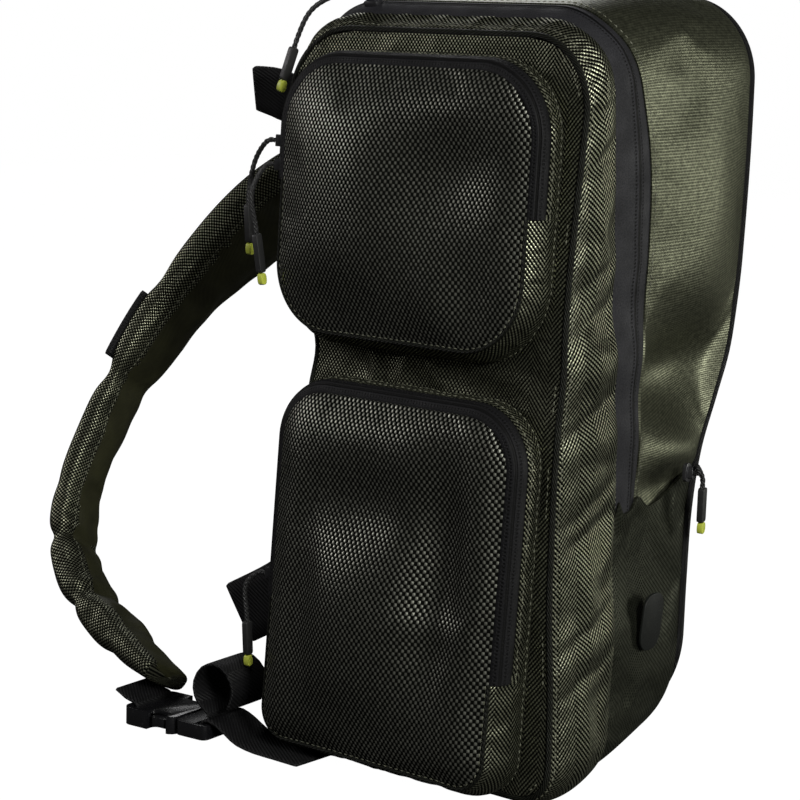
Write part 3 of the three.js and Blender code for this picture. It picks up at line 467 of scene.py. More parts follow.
# %% Floor finish
FLOOR_GLOW, FLOOR_GRAIN = 1.0, 40
pale_floor, tree, shader = start_finish("pale_floor")
grain = speckle(tree, object_place(tree), FLOOR_GRAIN, 2)
shade = blend(tree, grain, (0.07, 0.07, 0.07), (0.08, 0.08, 0.08))
fill_named(tree, shader, Base_Color=shade, Roughness=0.9, Specular_IOR_Level=0.1)
glow = put(tree, "ShaderNodeEmission", WHITE, FLOOR_GLOW).outputs[0]
ray = put(tree, "ShaderNodeLightPath").outputs["Is Camera Ray"]
only_seen = put(tree, "ShaderNodeMixShader", ray, None, glow).outputs[0]
white = put(tree, "ShaderNodeAddShader", shader.outputs[0], only_seen).outputs[0]
fill_named(tree, tree.nodes["Material Output"], Surface=white)
floor.data.materials.append(pale_floor)
print("finishes", len(bpy.data.materials))

# %% [markdown]
# ## Laying cloth
# A piece of cloth starts as a flat grid. It could be pulled into shape by hand, but each
# point of the grid is laid on the form by a formula, and the flat lengths are kept as its UV
# map, so the weave follows the cloth as it was cut.

# %% Cloth helpers
def pick(piece):
    bpy.ops.object.select_all(action="DESELECT")
    piece.select_set(True)
    bpy.context.view_layer.objects.active = piece


@contextmanager
def editing(piece, select="SELECT"):
    pick(piece)
    bpy.ops.object.mode_set(mode="EDIT")
    bpy.ops.mesh.select_all(action=select)
    yield
    bpy.ops.object.mode_set(mode="OBJECT")


def running(points):
    lengths = [0.0]
    for a, b in zip(points, points[1:]):
        lengths.append(lengths[-1] + (b - a).length)
    return lengths


def lay_cloth(name, columns, rows, place, closed=False, swap=False, flat_width=None):
    bpy.ops.object.select_all(action="DESELECT")
    bpy.ops.mesh.primitive_grid_add(x_subdivisions=columns, y_subdivisions=rows, size=1)
    piece = bpy.context.object
    piece.name = piece.data.name = name
    spots = [(round((v.co.x + 0.5) * columns), round((v.co.y + 0.5) * rows))
             for v in piece.data.vertices]
    points = [[place(i / columns, j / rows) for j in range(rows + 1)] for i in range(columns + 1)]
    middle = rows // 2
    run = running([column[middle] for column in points])
    climbs = []
    for climb in map(running, points):
        scale, origin = (flat_width / climb[-1], 0) if flat_width else (1, climb[middle])
        climbs.append([(value - origin) * scale for value in climb])
    uv_map = piece.data.uv_layers.active
    for loop in piece.data.loops:
        i, j = spots[loop.vertex_index]
        flat_spot = (run[i], climbs[i][j])
        uv_map.data[loop.index].uv = flat_spot[::-1] if swap else flat_spot
    for vertex, (i, j) in zip(piece.data.vertices, spots):
        vertex.co = points[i][j]
    if closed:
        with editing(piece):
            bpy.ops.mesh.remove_doubles(threshold=1e-6)
    return piece


def plan_uv(piece):
    uv_map = piece.data.uv_layers.active
    for loop in piece.data.loops:
        spot = piece.data.vertices[loop.vertex_index].co
        uv_map.data[loop.index].uv = (spot.x, spot.z)


def face_out(piece, inside):
    outward = sum((face.center - inside(face.center)).dot(face.normal) * face.area
                  for face in piece.data.polygons)
    if outward < 0:
        with editing(piece):
            bpy.ops.mesh.flip_normals()


def close_ends(piece):
    with editing(piece, "DESELECT"):
        bpy.ops.mesh.select_non_manifold()
        bpy.ops.mesh.fill_holes(sides=0)


def apply(piece, kind, **settings):
    pick(piece)
    modifier = piece.modifiers.new(kind.title(), kind)
    set_all(modifier, settings)
    bpy.ops.object.modifier_apply(modifier=modifier.name)


def smooth(piece, degrees):
    pick(piece)
    bpy.ops.object.shade_smooth_by_angle(angle=math.radians(degrees))


def dress(piece, slot, finish, *stands_for):
    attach(piece, "root")
    if stands_for:
        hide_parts(*stands_for)
    piece.data.materials.clear()
    piece.data.materials.append(finish)
    print("made", piece.name, len(piece.data.polygons), "faces")
    return piece


# %% [markdown]
# ## Letting cloth settle
# Slack cloth buckles because there is a little more of it than the form needs. Noise could
# fake that, but the Cloth modifier keeps the cloth's own length: it is given that spare
# length and a soft push from inside, its sewn edges are pinned, and a few frames are enough.
# No point may travel further than the cap.

# %% Settle helper
def rim_of(piece):
    counts = {}
    for face in piece.data.polygons:
        for edge in face.edge_keys:
            counts[edge] = counts.get(edge, 0) + 1
    return sorted({vertex for edge, count in counts.items() if count == 1 for vertex in edge})


def settle(piece, spare, push, cap, pinned=None, frames=14, stiff=0.4):
    before = [vertex.co.copy() for vertex in piece.data.vertices]
    sewn = piece.vertex_groups.new(name="sewn")
    sewn.add(rim_of(piece) if pinned is None else pinned, 1.0, "REPLACE")
    pick(piece)
    cloth = piece.modifiers.new("Cloth", "CLOTH")
    set_all(cloth.settings, dict(
        quality=6, mass=0.2, tension_stiffness=12, compression_stiffness=12, shear_stiffness=4,
        bending_stiffness=stiff, vertex_group_mass=sewn.name, shrink_min=-spare,
        use_pressure=push > 0, uniform_pressure_force=push,
    ))
    cloth.settings.effector_weights.gravity = 0
    cloth.collision_settings.use_collision = False
    cloth.point_cache.frame_start, cloth.point_cache.frame_end = 1, frames
    for number in range(1, frames + 1):
        bpy.context.scene.frame_set(number)
    bpy.ops.object.modifier_apply(modifier=cloth.name)
    bpy.context.scene.frame_set(1)
    furthest = 0.0
    for vertex, start in zip(piece.data.vertices, before):
        move = vertex.co - start
        furthest = max(furthest, move.length)
        if move.length > cap:
            vertex.co = start + move * (cap / move.length)
    piece.vertex_groups.clear()
    print("settled", piece.name, "furthest", round(furthest * 1000, 1), "mm")


# %% [markdown]
# ## Puller cords
# Each zip is drawn by a short twisted cord with a moulded grip and a bright tip. The cord
# could be a curve with a round bevel, but its twist shows, so it is a tube whose radius
# swells along two strands that wind around it.

# %% Tube helper
def clamp(value, low=0.0, high=1.0):
    return max(low, min(high, value))


def point_along(points, share):
    last = len(points) - 1
    at = clamp(share) * last
    i = min(int(at), last - 1)
    p1, p2 = points[i], points[i + 1]
    p0 = points[i - 1] if i > 0 else 2 * p1 - p2
    p3 = points[i + 2] if i + 2 <= last else 2 * p2 - p1
    d0, d1, d2 = ((b - a).length ** 0.5 for a, b in ((p0, p1), (p1, p2), (p2, p3)))
    t1 = ((p1 - p0) / d0 - (p2 - p0) / (d0 + d1) + (p2 - p1) / d1) * d1
    t2 = ((p2 - p1) / d1 - (p3 - p1) / (d1 + d2) + (p3 - p2) / d2) * d1
    s = at - i
    square, cube = 3 * p2 - 3 * p1 - 2 * t1 - t2, 2 * p1 - 2 * p2 + t1 + t2
    return p1 + t1 * s + square * s * s + cube * s ** 3


def relaxed(path, passes):
    for _ in range(passes):
        inner = [(a + 2 * b + c) / 4 for a, b, c in zip(path, path[1:], path[2:])]
        path = [path[0], *inner, path[-1]]
    return path


STRAND_DEPTH, STRAND_PITCH = 0.26, 0.007


def tube(name, path, radius, sides=10, strands=0, hoop=False):
    count = len(path) - 1
    frames = []
    side = None
    for k in range(count + 1):
        ahead = path[(k + 1) % count] if hoop else path[min(k + 1, count)]
        behind = path[(k - 1) % count] if hoop else path[max(k - 1, 0)]
        tangent = (ahead - behind).normalized()
        if side is None:
            side = tangent.orthogonal()
        side = (side - side.dot(tangent) * tangent).normalized()
        frames.append((path[k], side.copy(), tangent.cross(side)))
    travelled = running(path)
    if hoop:
        frames[count] = frames[0]

    def place(u, v):
        k = round(u * count)
        centre, across, upward = frames[k]
        angle = 2 * math.pi * v
        wound = 1.0
        if strands:
            wind = 2 * math.pi * travelled[k] / STRAND_PITCH
            wound += STRAND_DEPTH * (abs(math.cos((angle - wind) * strands / 2)) - 1)
        return centre + radius * wound * (math.cos(angle) * across + math.sin(angle) * upward)

    piece = lay_cloth(name, count, sides, place, closed=True)
    if not hoop:
        close_ends(piece)
    with editing(piece):
        bpy.ops.mesh.normals_make_consistent(inside=False)
    smooth(piece, 60)
    return piece


# %% [markdown]
# Sliders, grips and tips keep the solids' shapes: copies are merged into quads and their
# edges bevelled. A cord's route could be typed in again, but then it could drift from the
# solid. So it is read from the solid: from the cap by the slider, ring by ring of its
# corners, and the kinks between the rings are rounded.

# %% Grips, tips and cords
PULLERS = ("main", "upper_left", "upper_right", "lower", "side")
CORD_WIDTH, CORD_STEPS, INTO_GRIP, KINK_PASSES = 0.0032, 90, 0.0025, 40
CAP_ANGLE, CAP_STEPS, BEVEL_FROM = math.radians(65), 8, math.radians(28)
GRIP_SLIM, TIP_SLIM, GRIP_END = 0.76, 0.92, 0.8


def copy_solid(node, name):
    piece = bpy.data.objects.new(name, solids[node].data.copy())
    bpy.context.collection.objects.link(piece)
    with editing(piece):
        bpy.ops.mesh.remove_doubles(threshold=1e-5)
        bpy.ops.mesh.tris_convert_to_quads(face_threshold=0.6, shape_threshold=0.6)
    return piece


def middle_of(points):
    return sum(points, Vector()) / len(points)


def ring_route(node, start):
    piece = copy_solid(node, "measured_cord")
    spots = [vertex.co.copy() for vertex in piece.data.vertices]
    meets = {}
    for face in piece.data.polygons:
        for edge in face.edge_keys:
            meets.setdefault(edge, []).append(face.normal.copy())
    bpy.data.objects.remove(piece)
    beside = {index: set() for index in range(len(spots))}
    for a, b in meets:
        beside[a].add(b)
        beside[b].add(a)
    sharp = [edge for edge, sides in meets.items() if sides[0].angle(sides[1]) > CAP_ANGLE]
    rim = {index for edge in sharp for index in edge}
    ring = {min(rim, key=lambda index: (spots[index] - start).length)}
    for _ in range(CAP_STEPS):
        ring |= {other for index in ring for other in beside[index] if other in rim}
    route, walked = [], set()
    while ring:
        route.append(middle_of([spots[index] for index in sorted(ring)]))
        walked |= ring
        ring = {other for index in ring for other in beside[index]} - walked
    return route + [route[-1] + (route[-1] - route[-2]).normalized() * INTO_GRIP]


def moulded_copy(node, name, slot, finish, bevel):
    piece = copy_solid(node, name)
    apply(piece, "BEVEL", width=bevel, segments=3, limit_method="ANGLE", angle_limit=BEVEL_FROM)
    smooth(piece, 35)
    return dress(piece, slot, finish, node)


def slim_down(piece, share, axis=None):
    spots = [vertex.co.copy() for vertex in piece.data.vertices]
    middle = middle_of(spots)
    if axis is None:
        far = max(spots, key=lambda spot: (spot - middle).length) - middle
        near_end = GRIP_END * far.length_squared
        ends = [spot for spot in spots if (spot - middle).dot(far) > near_end]
        axis = (middle_of(ends) - middle).normalized()
    for vertex in piece.data.vertices:
        offset = vertex.co - middle
        beside = offset - offset.dot(axis) * axis
        vertex.co -= (1 - share) * beside
    return axis


for name in PULLERS:
    node = f"puller_{name}_"
    slider = moulded_copy(node + "slider", f"slider_{name}", "metal", black_enamel, 0.0005)
    grip = moulded_copy(node + "grip", f"grip_{name}", "rubber", matt_rubber, 0.0011)
    tip = moulded_copy(node + "tip", f"tip_{name}", "lime", lime_rubber, 0.0014)
    axis = slim_down(grip, GRIP_SLIM)
    slim_down(tip, GRIP_SLIM * TIP_SLIM, axis)
    slider_middle = middle_of([vertex.co for vertex in slider.data.vertices])
    route = ring_route(node + "cord", slider_middle)
    path = [point_along(route, k / CORD_STEPS) for k in range(CORD_STEPS + 1)]
    path = relaxed(path, KINK_PASSES)
    cord = tube(f"cord_{name}", path, CORD_WIDTH / 2, sides=12, strands=2)
    dress(cord, "webbing", puller_cord, node + "cord")
    length = running(path)[-1]
    tuple(path[0])
    [tuple(p) for p in path[::3]]
    print("cord", name, round(length * 1000, 1), "mm")

# %% [markdown]
# ## The form of the body
# The bag is cut as a front panel, two gussets and a back, all sewn on rounded rectangles.
# The solids could be smoothed, but their few faces would show, so the same few sizes as in
# the solids give any point of that form: a share of the way around the outline, and a share
# of the depth from the front seam to the back seam.

# %% Body form
def table(columns, *rows):
    return [dict(zip(columns.split(), row)) for row in rows]


BODY_SECTIONS = table(
    "share half_width bottom top top_radius bottom_radius left_foot",
    (0.0, 0.110, 0.0024, 0.424, 0.044, 0.018, 0.018),
    (0.08, 0.112, 0, 0.434, 0.046, 0.021, 0.018),
    (0.2, 0.113, 0, 0.443, 0.047, 0.025, 0.019),
    (0.5, 0.114, 0, 0.450, 0.048, 0.040, 0.022),
    (0.85, 0.111, 0, 0.450, 0.048, 0.060, 0.026),
    (0.94, 0.109, 0, 0.449, 0.047, 0.064, 0.030),
    (1.0, 0.106, 0.009, 0.446, 0.046, 0.066, 0.034),
)
SIDE_PROFILE = table(
    "height back left right",
    (-0.020, 0.052, 0.008, 0.002),
    (0.060, 0.056, 0.012, -0.002),
    (0.110, 0.059, 0.017, -0.007),
    (0.150, 0.062, 0.022, -0.009),
    (0.185, 0.070, 0.026, -0.010),
    (0.215, 0.084, 0.030, -0.010),
    (0.240, 0.095, 0.033, -0.009),
    (0.265, 0.101, 0.022, -0.010),
    (0.295, 0.105, 0.008, -0.010),
    (0.370, 0.107, 0, -0.007),
    (0.470, 0.103, 0.002, -0.002),
)
MAIN_ZIP = table(
    "height setback width",
    (0.120, 0.062, 0.015),
    (0.170, 0.061, 0.017),
    (0.215, 0.057, 0.020),
    (0.260, 0.054, 0.027),
    (0.330, 0.049, 0.031),
    (0.380, 0.040, 0.028),
    (0.420, 0.028, 0.018),
    (0.440, 0.021, 0.014),
    (0.470, 0.020, 0.013),
)
SIDE_FOLDS = table(
    "height share up across sink",
    (0.248, 0.16, 0.016, 0.22, 0.0045),
    (0.300, 0.18, 0.012, 0.15, 0.0025),
    (0.205, 0.20, 0.014, 0.20, 0.003),
    (0.205, 0.72, 0.026, 0.22, 0.005),
    (0.330, 0.75, 0.070, 0.14, 0.004),
    (0.090, 0.30, 0.024, 0.22, 0.004),
    (0.395, 0.50, 0.026, 0.30, -0.003),
)
FRONT_FOOT, FRONT_LEAN = -0.082, 0.058
CLOTH, SEWN_GAP, PIPING_RADIUS = 0.0026, 0.0003, 0.0017
ZIP_END_HEIGHT, HEM_RISE = 0.156, 0.026
BOTTOM_END, BOTTOM_CORNER, SIDE_END, TOP_CORNER, MIDDLE = 0.07, 0.14, 0.34, 0.43, 0.5
LEAST_RADIUS, DRAW_HALF, DRAW_FADE = 0.002, 0.110, 0.7
FLANK_FROM, FLANK_OVER, ZIP_SECTION, ZIP_END_SECTION = 0.06, 0.04, 0.3, 0.4


def mix(low, high, share):
    return low + (high - low) * share


def along(rows, key, at, column):
    last = len(rows) - 1
    if at <= rows[0][key]:
        return rows[0][column]
    if at >= rows[last][key]:
        return rows[last][column]
    i = next(k for k in range(last) if rows[k + 1][key] > at)
    span = rows[i + 1][key] - rows[i][key]
    s = (at - rows[i][key]) / span

    def slope(k):
        low, high = rows[max(k - 1, 0)], rows[min(k + 1, last)]
        return (high[column] - low[column]) / (high[key] - low[key]) * span

    bend = 3 * s * s - 2 * s ** 3
    leave, arrive = s ** 3 - 2 * s * s + s, s ** 3 - s * s
    start, end = rows[i][column], rows[i + 1][column]
    return start + (end - start) * bend + leave * slope(i) + arrive * slope(i + 1)


def outline_point(shape, loop, inset=0.0):
    around = loop % 1
    half, side = (1 - around, -1) if around > 0.5 else (around, 1)
    half_width = shape["half_width"] - inset
    bottom, top = shape["bottom"] + inset, shape["top"] - inset
    low = max(shape["bottom_radius"] - inset, LEAST_RADIUS)
    left_foot = shape.get("left_foot", shape["bottom_radius"])
    foot = max(left_foot - inset, LEAST_RADIUS) if side < 0 else low
    high = max(shape["top_radius"] - inset, LEAST_RADIUS)
    if half <= BOTTOM_END:
        x, z = (half_width - foot) * half / BOTTOM_END, bottom
    elif half <= BOTTOM_CORNER:
        angle = math.pi / 2 * ((half - BOTTOM_END) / (BOTTOM_CORNER - BOTTOM_END) - 1)
        x, z = half_width - foot + foot * math.cos(angle), bottom + foot + foot * math.sin(angle)
    elif half <= SIDE_END:
        x = half_width
        z = mix(bottom + low, top - high, (half - BOTTOM_CORNER) / (SIDE_END - BOTTOM_CORNER))
    elif half <= TOP_CORNER:
        angle = math.pi / 2 * (half - SIDE_END) / (TOP_CORNER - SIDE_END)
        x, z = half_width - high + high * math.cos(angle), top - high + high * math.sin(angle)
    else:
        x, z = (half_width - high) * (MIDDLE - half) / (MIDDLE - TOP_CORNER), top
    return shape.get("centre", 0.0) + side * x, z


def loop_at_height(shape, height):
    low, high = shape["bottom"] + shape["bottom_radius"], shape["top"] - shape["top_radius"]
    return mix(BOTTOM_CORNER, SIDE_END, (height - low) / (high - low))


def front_seam(height):
    return FRONT_FOOT + FRONT_LEAN * height


def back_seam(height):
    return along(SIDE_PROFILE, "height", height, "back")


def body_section(share):
    columns = BODY_SECTIONS[0]
    section = {column: along(BODY_SECTIONS, "share", share, column) for column in columns}
    section["bottom"] = max(section["bottom"], 0)
    return section


def draw_in(x, z, share):
    drawn = along(SIDE_PROFILE, "height", z, "left" if x < 0 else "right")
    return drawn * (1 - DRAW_FADE * share) * abs(x) / DRAW_HALF


def flank(x):
    return clamp((abs(x) - FLANK_FROM) / FLANK_OVER)


def arch(share):
    return math.sin(math.pi * clamp(share))


def body_point(loop, share, outward=0.0):
    x, z = outline_point(body_section(share), loop, -outward)
    fold = 0.0
    for crease in SIDE_FOLDS:
        a = (z - crease["height"]) / crease["up"]
        b = (share - crease["share"]) / crease["across"]
        fold += crease["sink"] * math.exp(-a * a - b * b)
    inward = fold * (flank(x) * arch(share) ** 0.5) + draw_in(x, z, share)
    return Vector((x - math.copysign(inward, x), mix(front_seam(z), back_seam(z), share), z))


def zip_height(loop):
    return outline_point(body_section(ZIP_SECTION), loop)[1]


def body_depth(loop):
    z = zip_height(loop)
    return back_seam(z) - front_seam(z)


def zip_row(loop, column):
    return along(MAIN_ZIP, "height", zip_height(loop), column) / body_depth(loop)


zip_share = partial(zip_row, column="setback")


def zip_half(loop):
    return zip_row(loop, "width") / 2


ZIP_END = loop_at_height(body_section(ZIP_END_SECTION), ZIP_END_HEIGHT)
SEAM_CLEAR = PIPING_RADIUS + SEWN_GAP
HEM_START = zip_share(ZIP_END) + zip_half(ZIP_END)
HEM_END = 1 - SEAM_CLEAR / body_depth(ZIP_END)


def bag_axis(point):
    middle = mix(front_seam(point.z), back_seam(point.z), 0.5)
    return Vector((point.x * 0.3, middle, clamp(point.z, 0.05, 0.38)))


print("main zip ends at loop share", round(ZIP_END, 3))

# %% [markdown]
# ## Gussets and lower panels
# The front gusset is coarse nylon, cut on the cross. It puffs out between slanting valleys,
# where it is drawn in. The solver alone puts such valleys anywhere, so they are laid first,
# and the Cloth modifier only adds the small slack. Then it gets the thickness of cloth.

# %% Front gusset
def held_loop(loop):
    around = loop % 1
    return clamp(1 - around if around > 0.5 else around, ZIP_END, MIDDLE)


def gusset_edge(loop):
    return zip_share(held_loop(loop)) - zip_half(held_loop(loop))


GUSSET_VALLEYS = (-0.03, 0.058, 0.084, 0.138, 0.153, 0.204, 0.258, 0.280, 0.345, 0.37, 0.47)
VALLEY_SLANT, PUFF, PUFF_MOST, PUFF_ROUND, PUFF_SUNK = 0.026, 0.14, 0.0055, 0.6, 0.001


def gusset_puff(z, v):
    height = z - VALLEY_SLANT * v
    for low, high in zip(GUSSET_VALLEYS, GUSSET_VALLEYS[1:]):
        if low <= height < high:
            swell = math.sin(math.pi * (height - low) / (high - low)) ** PUFF_ROUND
            return min(PUFF * (high - low), PUFF_MOST) * swell * arch(v) ** PUFF_ROUND
    return 0.0


def front_gusset_place(u, v):
    share = mix(SEAM_CLEAR / body_depth(u), gusset_edge(u), v)
    flat_spot = body_point(u, share)
    puff = gusset_puff(flat_spot.z, v) * flank(flat_spot.x)
    return body_point(u, share, puff - PUFF_SUNK)


def tailor(piece, slot, finish, *stands_for, slack=None, thickness=0.0018, levels=1):
    face_out(piece, bag_axis)
    if slack:
        settle(piece, **slack)
    if levels:
        apply(piece, "SUBSURF", levels=levels, render_levels=levels)
    for vertex in piece.data.vertices:
        vertex.co.z = max(vertex.co.z, 0.0)
    apply(piece, "SOLIDIFY", thickness=thickness, offset=-1.0)
    smooth(piece, 50)
    return dress(piece, slot, finish, *stands_for)


front_gusset = lay_cloth("front_gusset_cloth", 420, 14, front_gusset_place, closed=True, swap=True)
tailor(front_gusset, "ballistic", strip_cloth, "front_gusset",
       slack=dict(spare=0.012, push=0.2, cap=0.002))

# %% [markdown]
# Behind the zip the bag is satin, down to a curved hem. On its side the cloth falls into one
# deep hollow with a roll below it. Each fold is a soft bell across the height that fades out
# at the seams, because a simulated fold would not come where the photograph has it.

# %% Rear gusset
LAY_IN, HEM_LAP = 0.0012, 0.003


def bell(distance, reach):
    return math.exp(-(distance / reach) ** 2)


def hem_loop(share):
    s = clamp((share - HEM_START) / (1 - HEM_START))
    return loop_at_height(body_section(share), ZIP_END_HEIGHT + HEM_RISE * s * s)


REAR_FOLDS = table(
    "z slant up swell",
    (0.330, 0.01, 0.050, 0.003),
    (0.228, 0.004, 0.031, -0.026),
    (0.196, -0.012, 0.014, 0.005),
    (0.168, 0.0, 0.012, -0.006),
)


def rear_gusset_place(u, v):
    low = hem_loop(mix(HEM_START, HEM_END, v)) - HEM_LAP
    loop = mix(low, 1 - low, u)
    held = held_loop(loop)
    share = mix(zip_share(held) + zip_half(held), 1 - SEAM_CLEAR / body_depth(held), v)
    flat_spot = body_point(loop, share)
    fold = sum(row["swell"] * bell(flat_spot.z - row["z"] - row["slant"] * v, row["up"])
               for row in REAR_FOLDS)
    fold *= flank(flat_spot.x) * arch(v) ** 0.5
    return body_point(loop, share, fold - (LAY_IN if u in (0, 1) else 0))


rear_gusset = lay_cloth("rear_gusset_cloth", 260, 22, rear_gusset_place, swap=True)
tailor(rear_gusset, "satin", side_satin, "rear_gusset",
       slack=dict(spare=0.002, push=0.4, cap=0.003, stiff=3.0))

# %% [markdown]
# Below the hem the satin goes on under the base in one trough. It could be three panels, but
# the real one is a single cut, and one grid has no seam to close. Its upper edge lies over
# the end of the zip with a small rolled lip.

# %% Lower panels and base
LOWER_TUCK = 0.0012
LIP_RISE, LIP_REACH, LIP_SWELL, LIP_FADE = 0.006, 0.0045, 0.0036, 0.12
LOWER_START = gusset_edge(0) - LOWER_TUCK / body_depth(ZIP_END)


def lower_place(u, v):
    share = mix(LOWER_START, HEM_END, v)
    top = ZIP_END if share < HEM_START else hem_loop(share)
    held = clamp(1 - (share - HEM_START) / LIP_FADE)
    beside_zip = min(abs(2 * (share - LOWER_START) / (HEM_START - LOWER_START) - 1), 1)
    top += LIP_RISE * held * beside_zip ** 3
    below_hem = (1 - abs(2 * u - 1)) * top
    lip = LIP_SWELL * held * bell(below_hem, LIP_REACH)
    return body_point((2 * u - 1) * top, share, lip - LAY_IN)


lower_body = lay_cloth("lower_body_cloth", 170, 36, lower_place, swap=True)
# Its finish is the side's satin with painted shade in its colours.
tailor(lower_body, "satin", shaded_low_satin, "lower_body",
       slack=dict(spare=0.008, push=0.1, cap=0.001, stiff=2.0))

# %% [markdown]
# ## Front and back panels
# A panel fills its seam. A flat face could be cut to the outline, but it could not ripple, so
# its rows run from the left seam to the right seam at each height. The back is padded: rows
# of sewn channels press into its foam.

# %% Panels
PANEL_INSET, PANEL_PROUD, RIPPLE, RIPPLE_REST = 0.0016, 0.0008, 0.011, 0.35
BACK_PAD, BACK_SUNK, BACK_ROUND = 0.0078, 0.0014, 0.35
CHANNELS, CHANNEL_WIDTH, CHANNEL_SINK, CHANNEL_END = 9, 0.07, 0.0035, 0.08


def panel_limit(section, z, inset, foot="bottom_radius"):
    bottom, top = section["bottom"] + inset, section["top"] - inset
    low, high = section[foot] - inset, section["top_radius"] - inset
    half = section["half_width"] - inset
    if z > top - high:
        return half - high + math.sqrt(max(high ** 2 - (z - top + high) ** 2, 0))
    if z < bottom + low:
        return half - low + math.sqrt(max(low ** 2 - (bottom + low - z) ** 2, 0))
    return half


def rounded_rows(share):
    return 0.5 * share + 0.25 * (1 - math.cos(math.pi * share))


def panel_place(share, face):
    section, inset = body_section(share), PANEL_INSET

    def place(u, v):
        z = mix(section["bottom"] + inset, section["top"] - inset, rounded_rows(v))
        x = mix(-panel_limit(section, z, inset, "left_foot"), panel_limit(section, z, inset), u)
        return Vector((x - math.copysign(draw_in(x, z, share), x), face(x, z, u, v), z))

    return place


def front_face(x, z, u, v):
    spot = Vector((x * 22 + z * 14, 0.3, z * 30 - x * 9))
    ripple = RIPPLE_REST - abs(noise.noise(spot))
    return front_seam(z) - PANEL_PROUD - RIPPLE * ripple * (arch(u) * arch(v)) ** 0.5


def back_face(x, z, u, v):
    edge = (4 * u * (1 - u) * 4 * v * (1 - v)) ** BACK_ROUND
    sewn = 1 if CHANNEL_END < u < 1 - CHANNEL_END else 0
    channel = bell(v * CHANNELS % 1 - 0.5, CHANNEL_WIDTH) * sewn
    return back_seam(z) - BACK_SUNK + BACK_PAD * edge - CHANNEL_SINK * channel * edge


front_panel = lay_cloth("front_panel_cloth", 60, 110, panel_place(0, front_face))
plan_uv(front_panel)
tailor(front_panel, "ballistic", panel_cloth, "front_panel")
back_panel = lay_cloth("back_panel_pad", 60, 130, panel_place(1, back_face))
tailor(back_panel, "padding", back_mesh, "back_panel", thickness=0.003,
       slack=dict(spare=0.015, push=0.6, cap=0.002, frames=10))

# %% [markdown]
# ## Corded seams
# A cord is sewn into the seam around the front and the back panel. A bevel on the panel's
# edge would be too even, so each is a closed tube along the seam, and its finish has a
# slanting rib for the wound cover.

# %% Piping
PIPING_STEPS, PIPING_PROUD, BACK_PIPING = 360, 0.0002, 1.2


def piping(name, share, radius):
    path = [body_point(k / PIPING_STEPS, share, PIPING_PROUD) for k in range(PIPING_STEPS)]
    return tube(name, path + path[:1], radius, sides=10, hoop=True)


front_cord = piping("front_seam_cord", 0, PIPING_RADIUS)
# The front cord's finish carries painted shade of the seam's groove.
dress(front_cord, "ballistic", seam_cord, "front_piping")
back_cord = piping("back_seam_cord", 1, PIPING_RADIUS * BACK_PIPING)
dress(back_cord, "webbing", black_webbing, "back_piping")

# %% [markdown]
# ## Main zip
# The zip's tapes lie a little below the cloth on both sides. Two tapes and a coil could be
# three pieces, but the zip is shut, so it is one strip: the coil is a narrow ridge off its
# middle, and the tape bulges softly around it.

# %% Main zip
COIL_WIDTH, ZIP_TUCK, TAPE_LAP, TAPE_THICK = 0.07, 0.002, 0.0006, 0.0008


def zip_swell(v, height, coil):
    return height * (1 - (2 * v - 1) ** 2) + coil * bell(v - COIL_AT, COIL_WIDTH) - LAY_IN


def main_zip_place(u, v):
    loop = mix(ZIP_END - ZIP_TUCK, 1 - ZIP_END + ZIP_TUCK, u)
    share = zip_share(loop) + (2 * v - 1) * (zip_half(loop) + TAPE_LAP / body_depth(loop))
    return body_point(loop, share, zip_swell(v, 0.0018, 0.0007))


main_zip = lay_cloth("main_zip_tape", 300, 24, main_zip_place, flat_width=MAIN_TAPE)
tailor(main_zip, "zip", main_zip_finish, "main_zip", thickness=TAPE_THICK, levels=0)

# %% [markdown]
# ## Pockets
# A pouch is a crowned face with soft dents, sewn to a gusset that climbs from the panel. Its
# zip runs around the shoulder between them, and below the zip's ends a corded seam closes
# them. A blown-up cushion would crown evenly, so the dents of the photograph are laid into
# the crown, each as a bell with its own place, size and depth.

# %% Pocket form
POCKET_PROFILE = table(
    "step inset rise",
    (0, 0, 0.02), (0.3, -0.001, 0.3), (0.5, 0.0005, 0.52), (0.8, 0.0055, 0.86), (1, 0.011, 1),
)
ZIP_LOW, ZIP_HIGH, SHOULDER = 0.46, 0.84, 0.011
PROFILE_STEP, USUAL_DEPTH = 0.02, 0.028
UPPER = {
    "name": "upper_pocket",
    "outline": dict(centre=-0.004, half_width=0.095, bottom=0.244, top=0.411,
                    top_radius=0.044, bottom_radius=0.046),
    "depth": (0.022, 0.024),
    "crown": 0.015,
    "boxy": 3.0,
    "zip": (0.326, 0.336),
    "dents": table(
        "x z across up sink",
        (0.040, 0.350, 0.040, 0.028, 0.011),
        (0.038, 0.308, 0.036, 0.045, 0.005),
        (-0.020, 0.335, 0.026, 0.050, -0.003),
        (0.058, 0.276, 0.018, 0.030, 0.008),
        (-0.050, 0.262, 0.040, 0.022, 0.007),
        (0.030, 0.266, 0.013, 0.030, -0.003),
    ),
}
LOWER = {
    "name": "lower_pocket",
    "outline": dict(centre=0.005, half_width=0.088, bottom=0.004, top=0.223,
                    top_radius=0.036, bottom_radius=0.024),
    "depth": (0.032, 0.027),
    "crown": 0.012,
    "boxy": 5.0,
    "zip": (0.072, 0.092),
    "dents": table(
        "x z across up sink",
        (0.052, 0.132, 0.020, 0.072, 0.018),
        (-0.004, 0.158, 0.042, 0.028, 0.013),
        (-0.008, 0.100, 0.028, 0.055, -0.006),
        (-0.046, 0.095, 0.014, 0.070, 0.006),
        (0.046, 0.097, 0.022, 0.009, -0.003),
        (0.000, 0.030, 0.060, 0.018, 0.005),
    ),
}


def profile(step, column):
    return along(POCKET_PROFILE, "step", step, column)


SHOULDER_ROWS = [(profile(k / 200, "inset"), profile(k / 200, "rise")) for k in range(60, 201)]


def rise_at(inset):
    return min(SHOULDER_ROWS, key=lambda row: abs(row[0] - inset))[1]


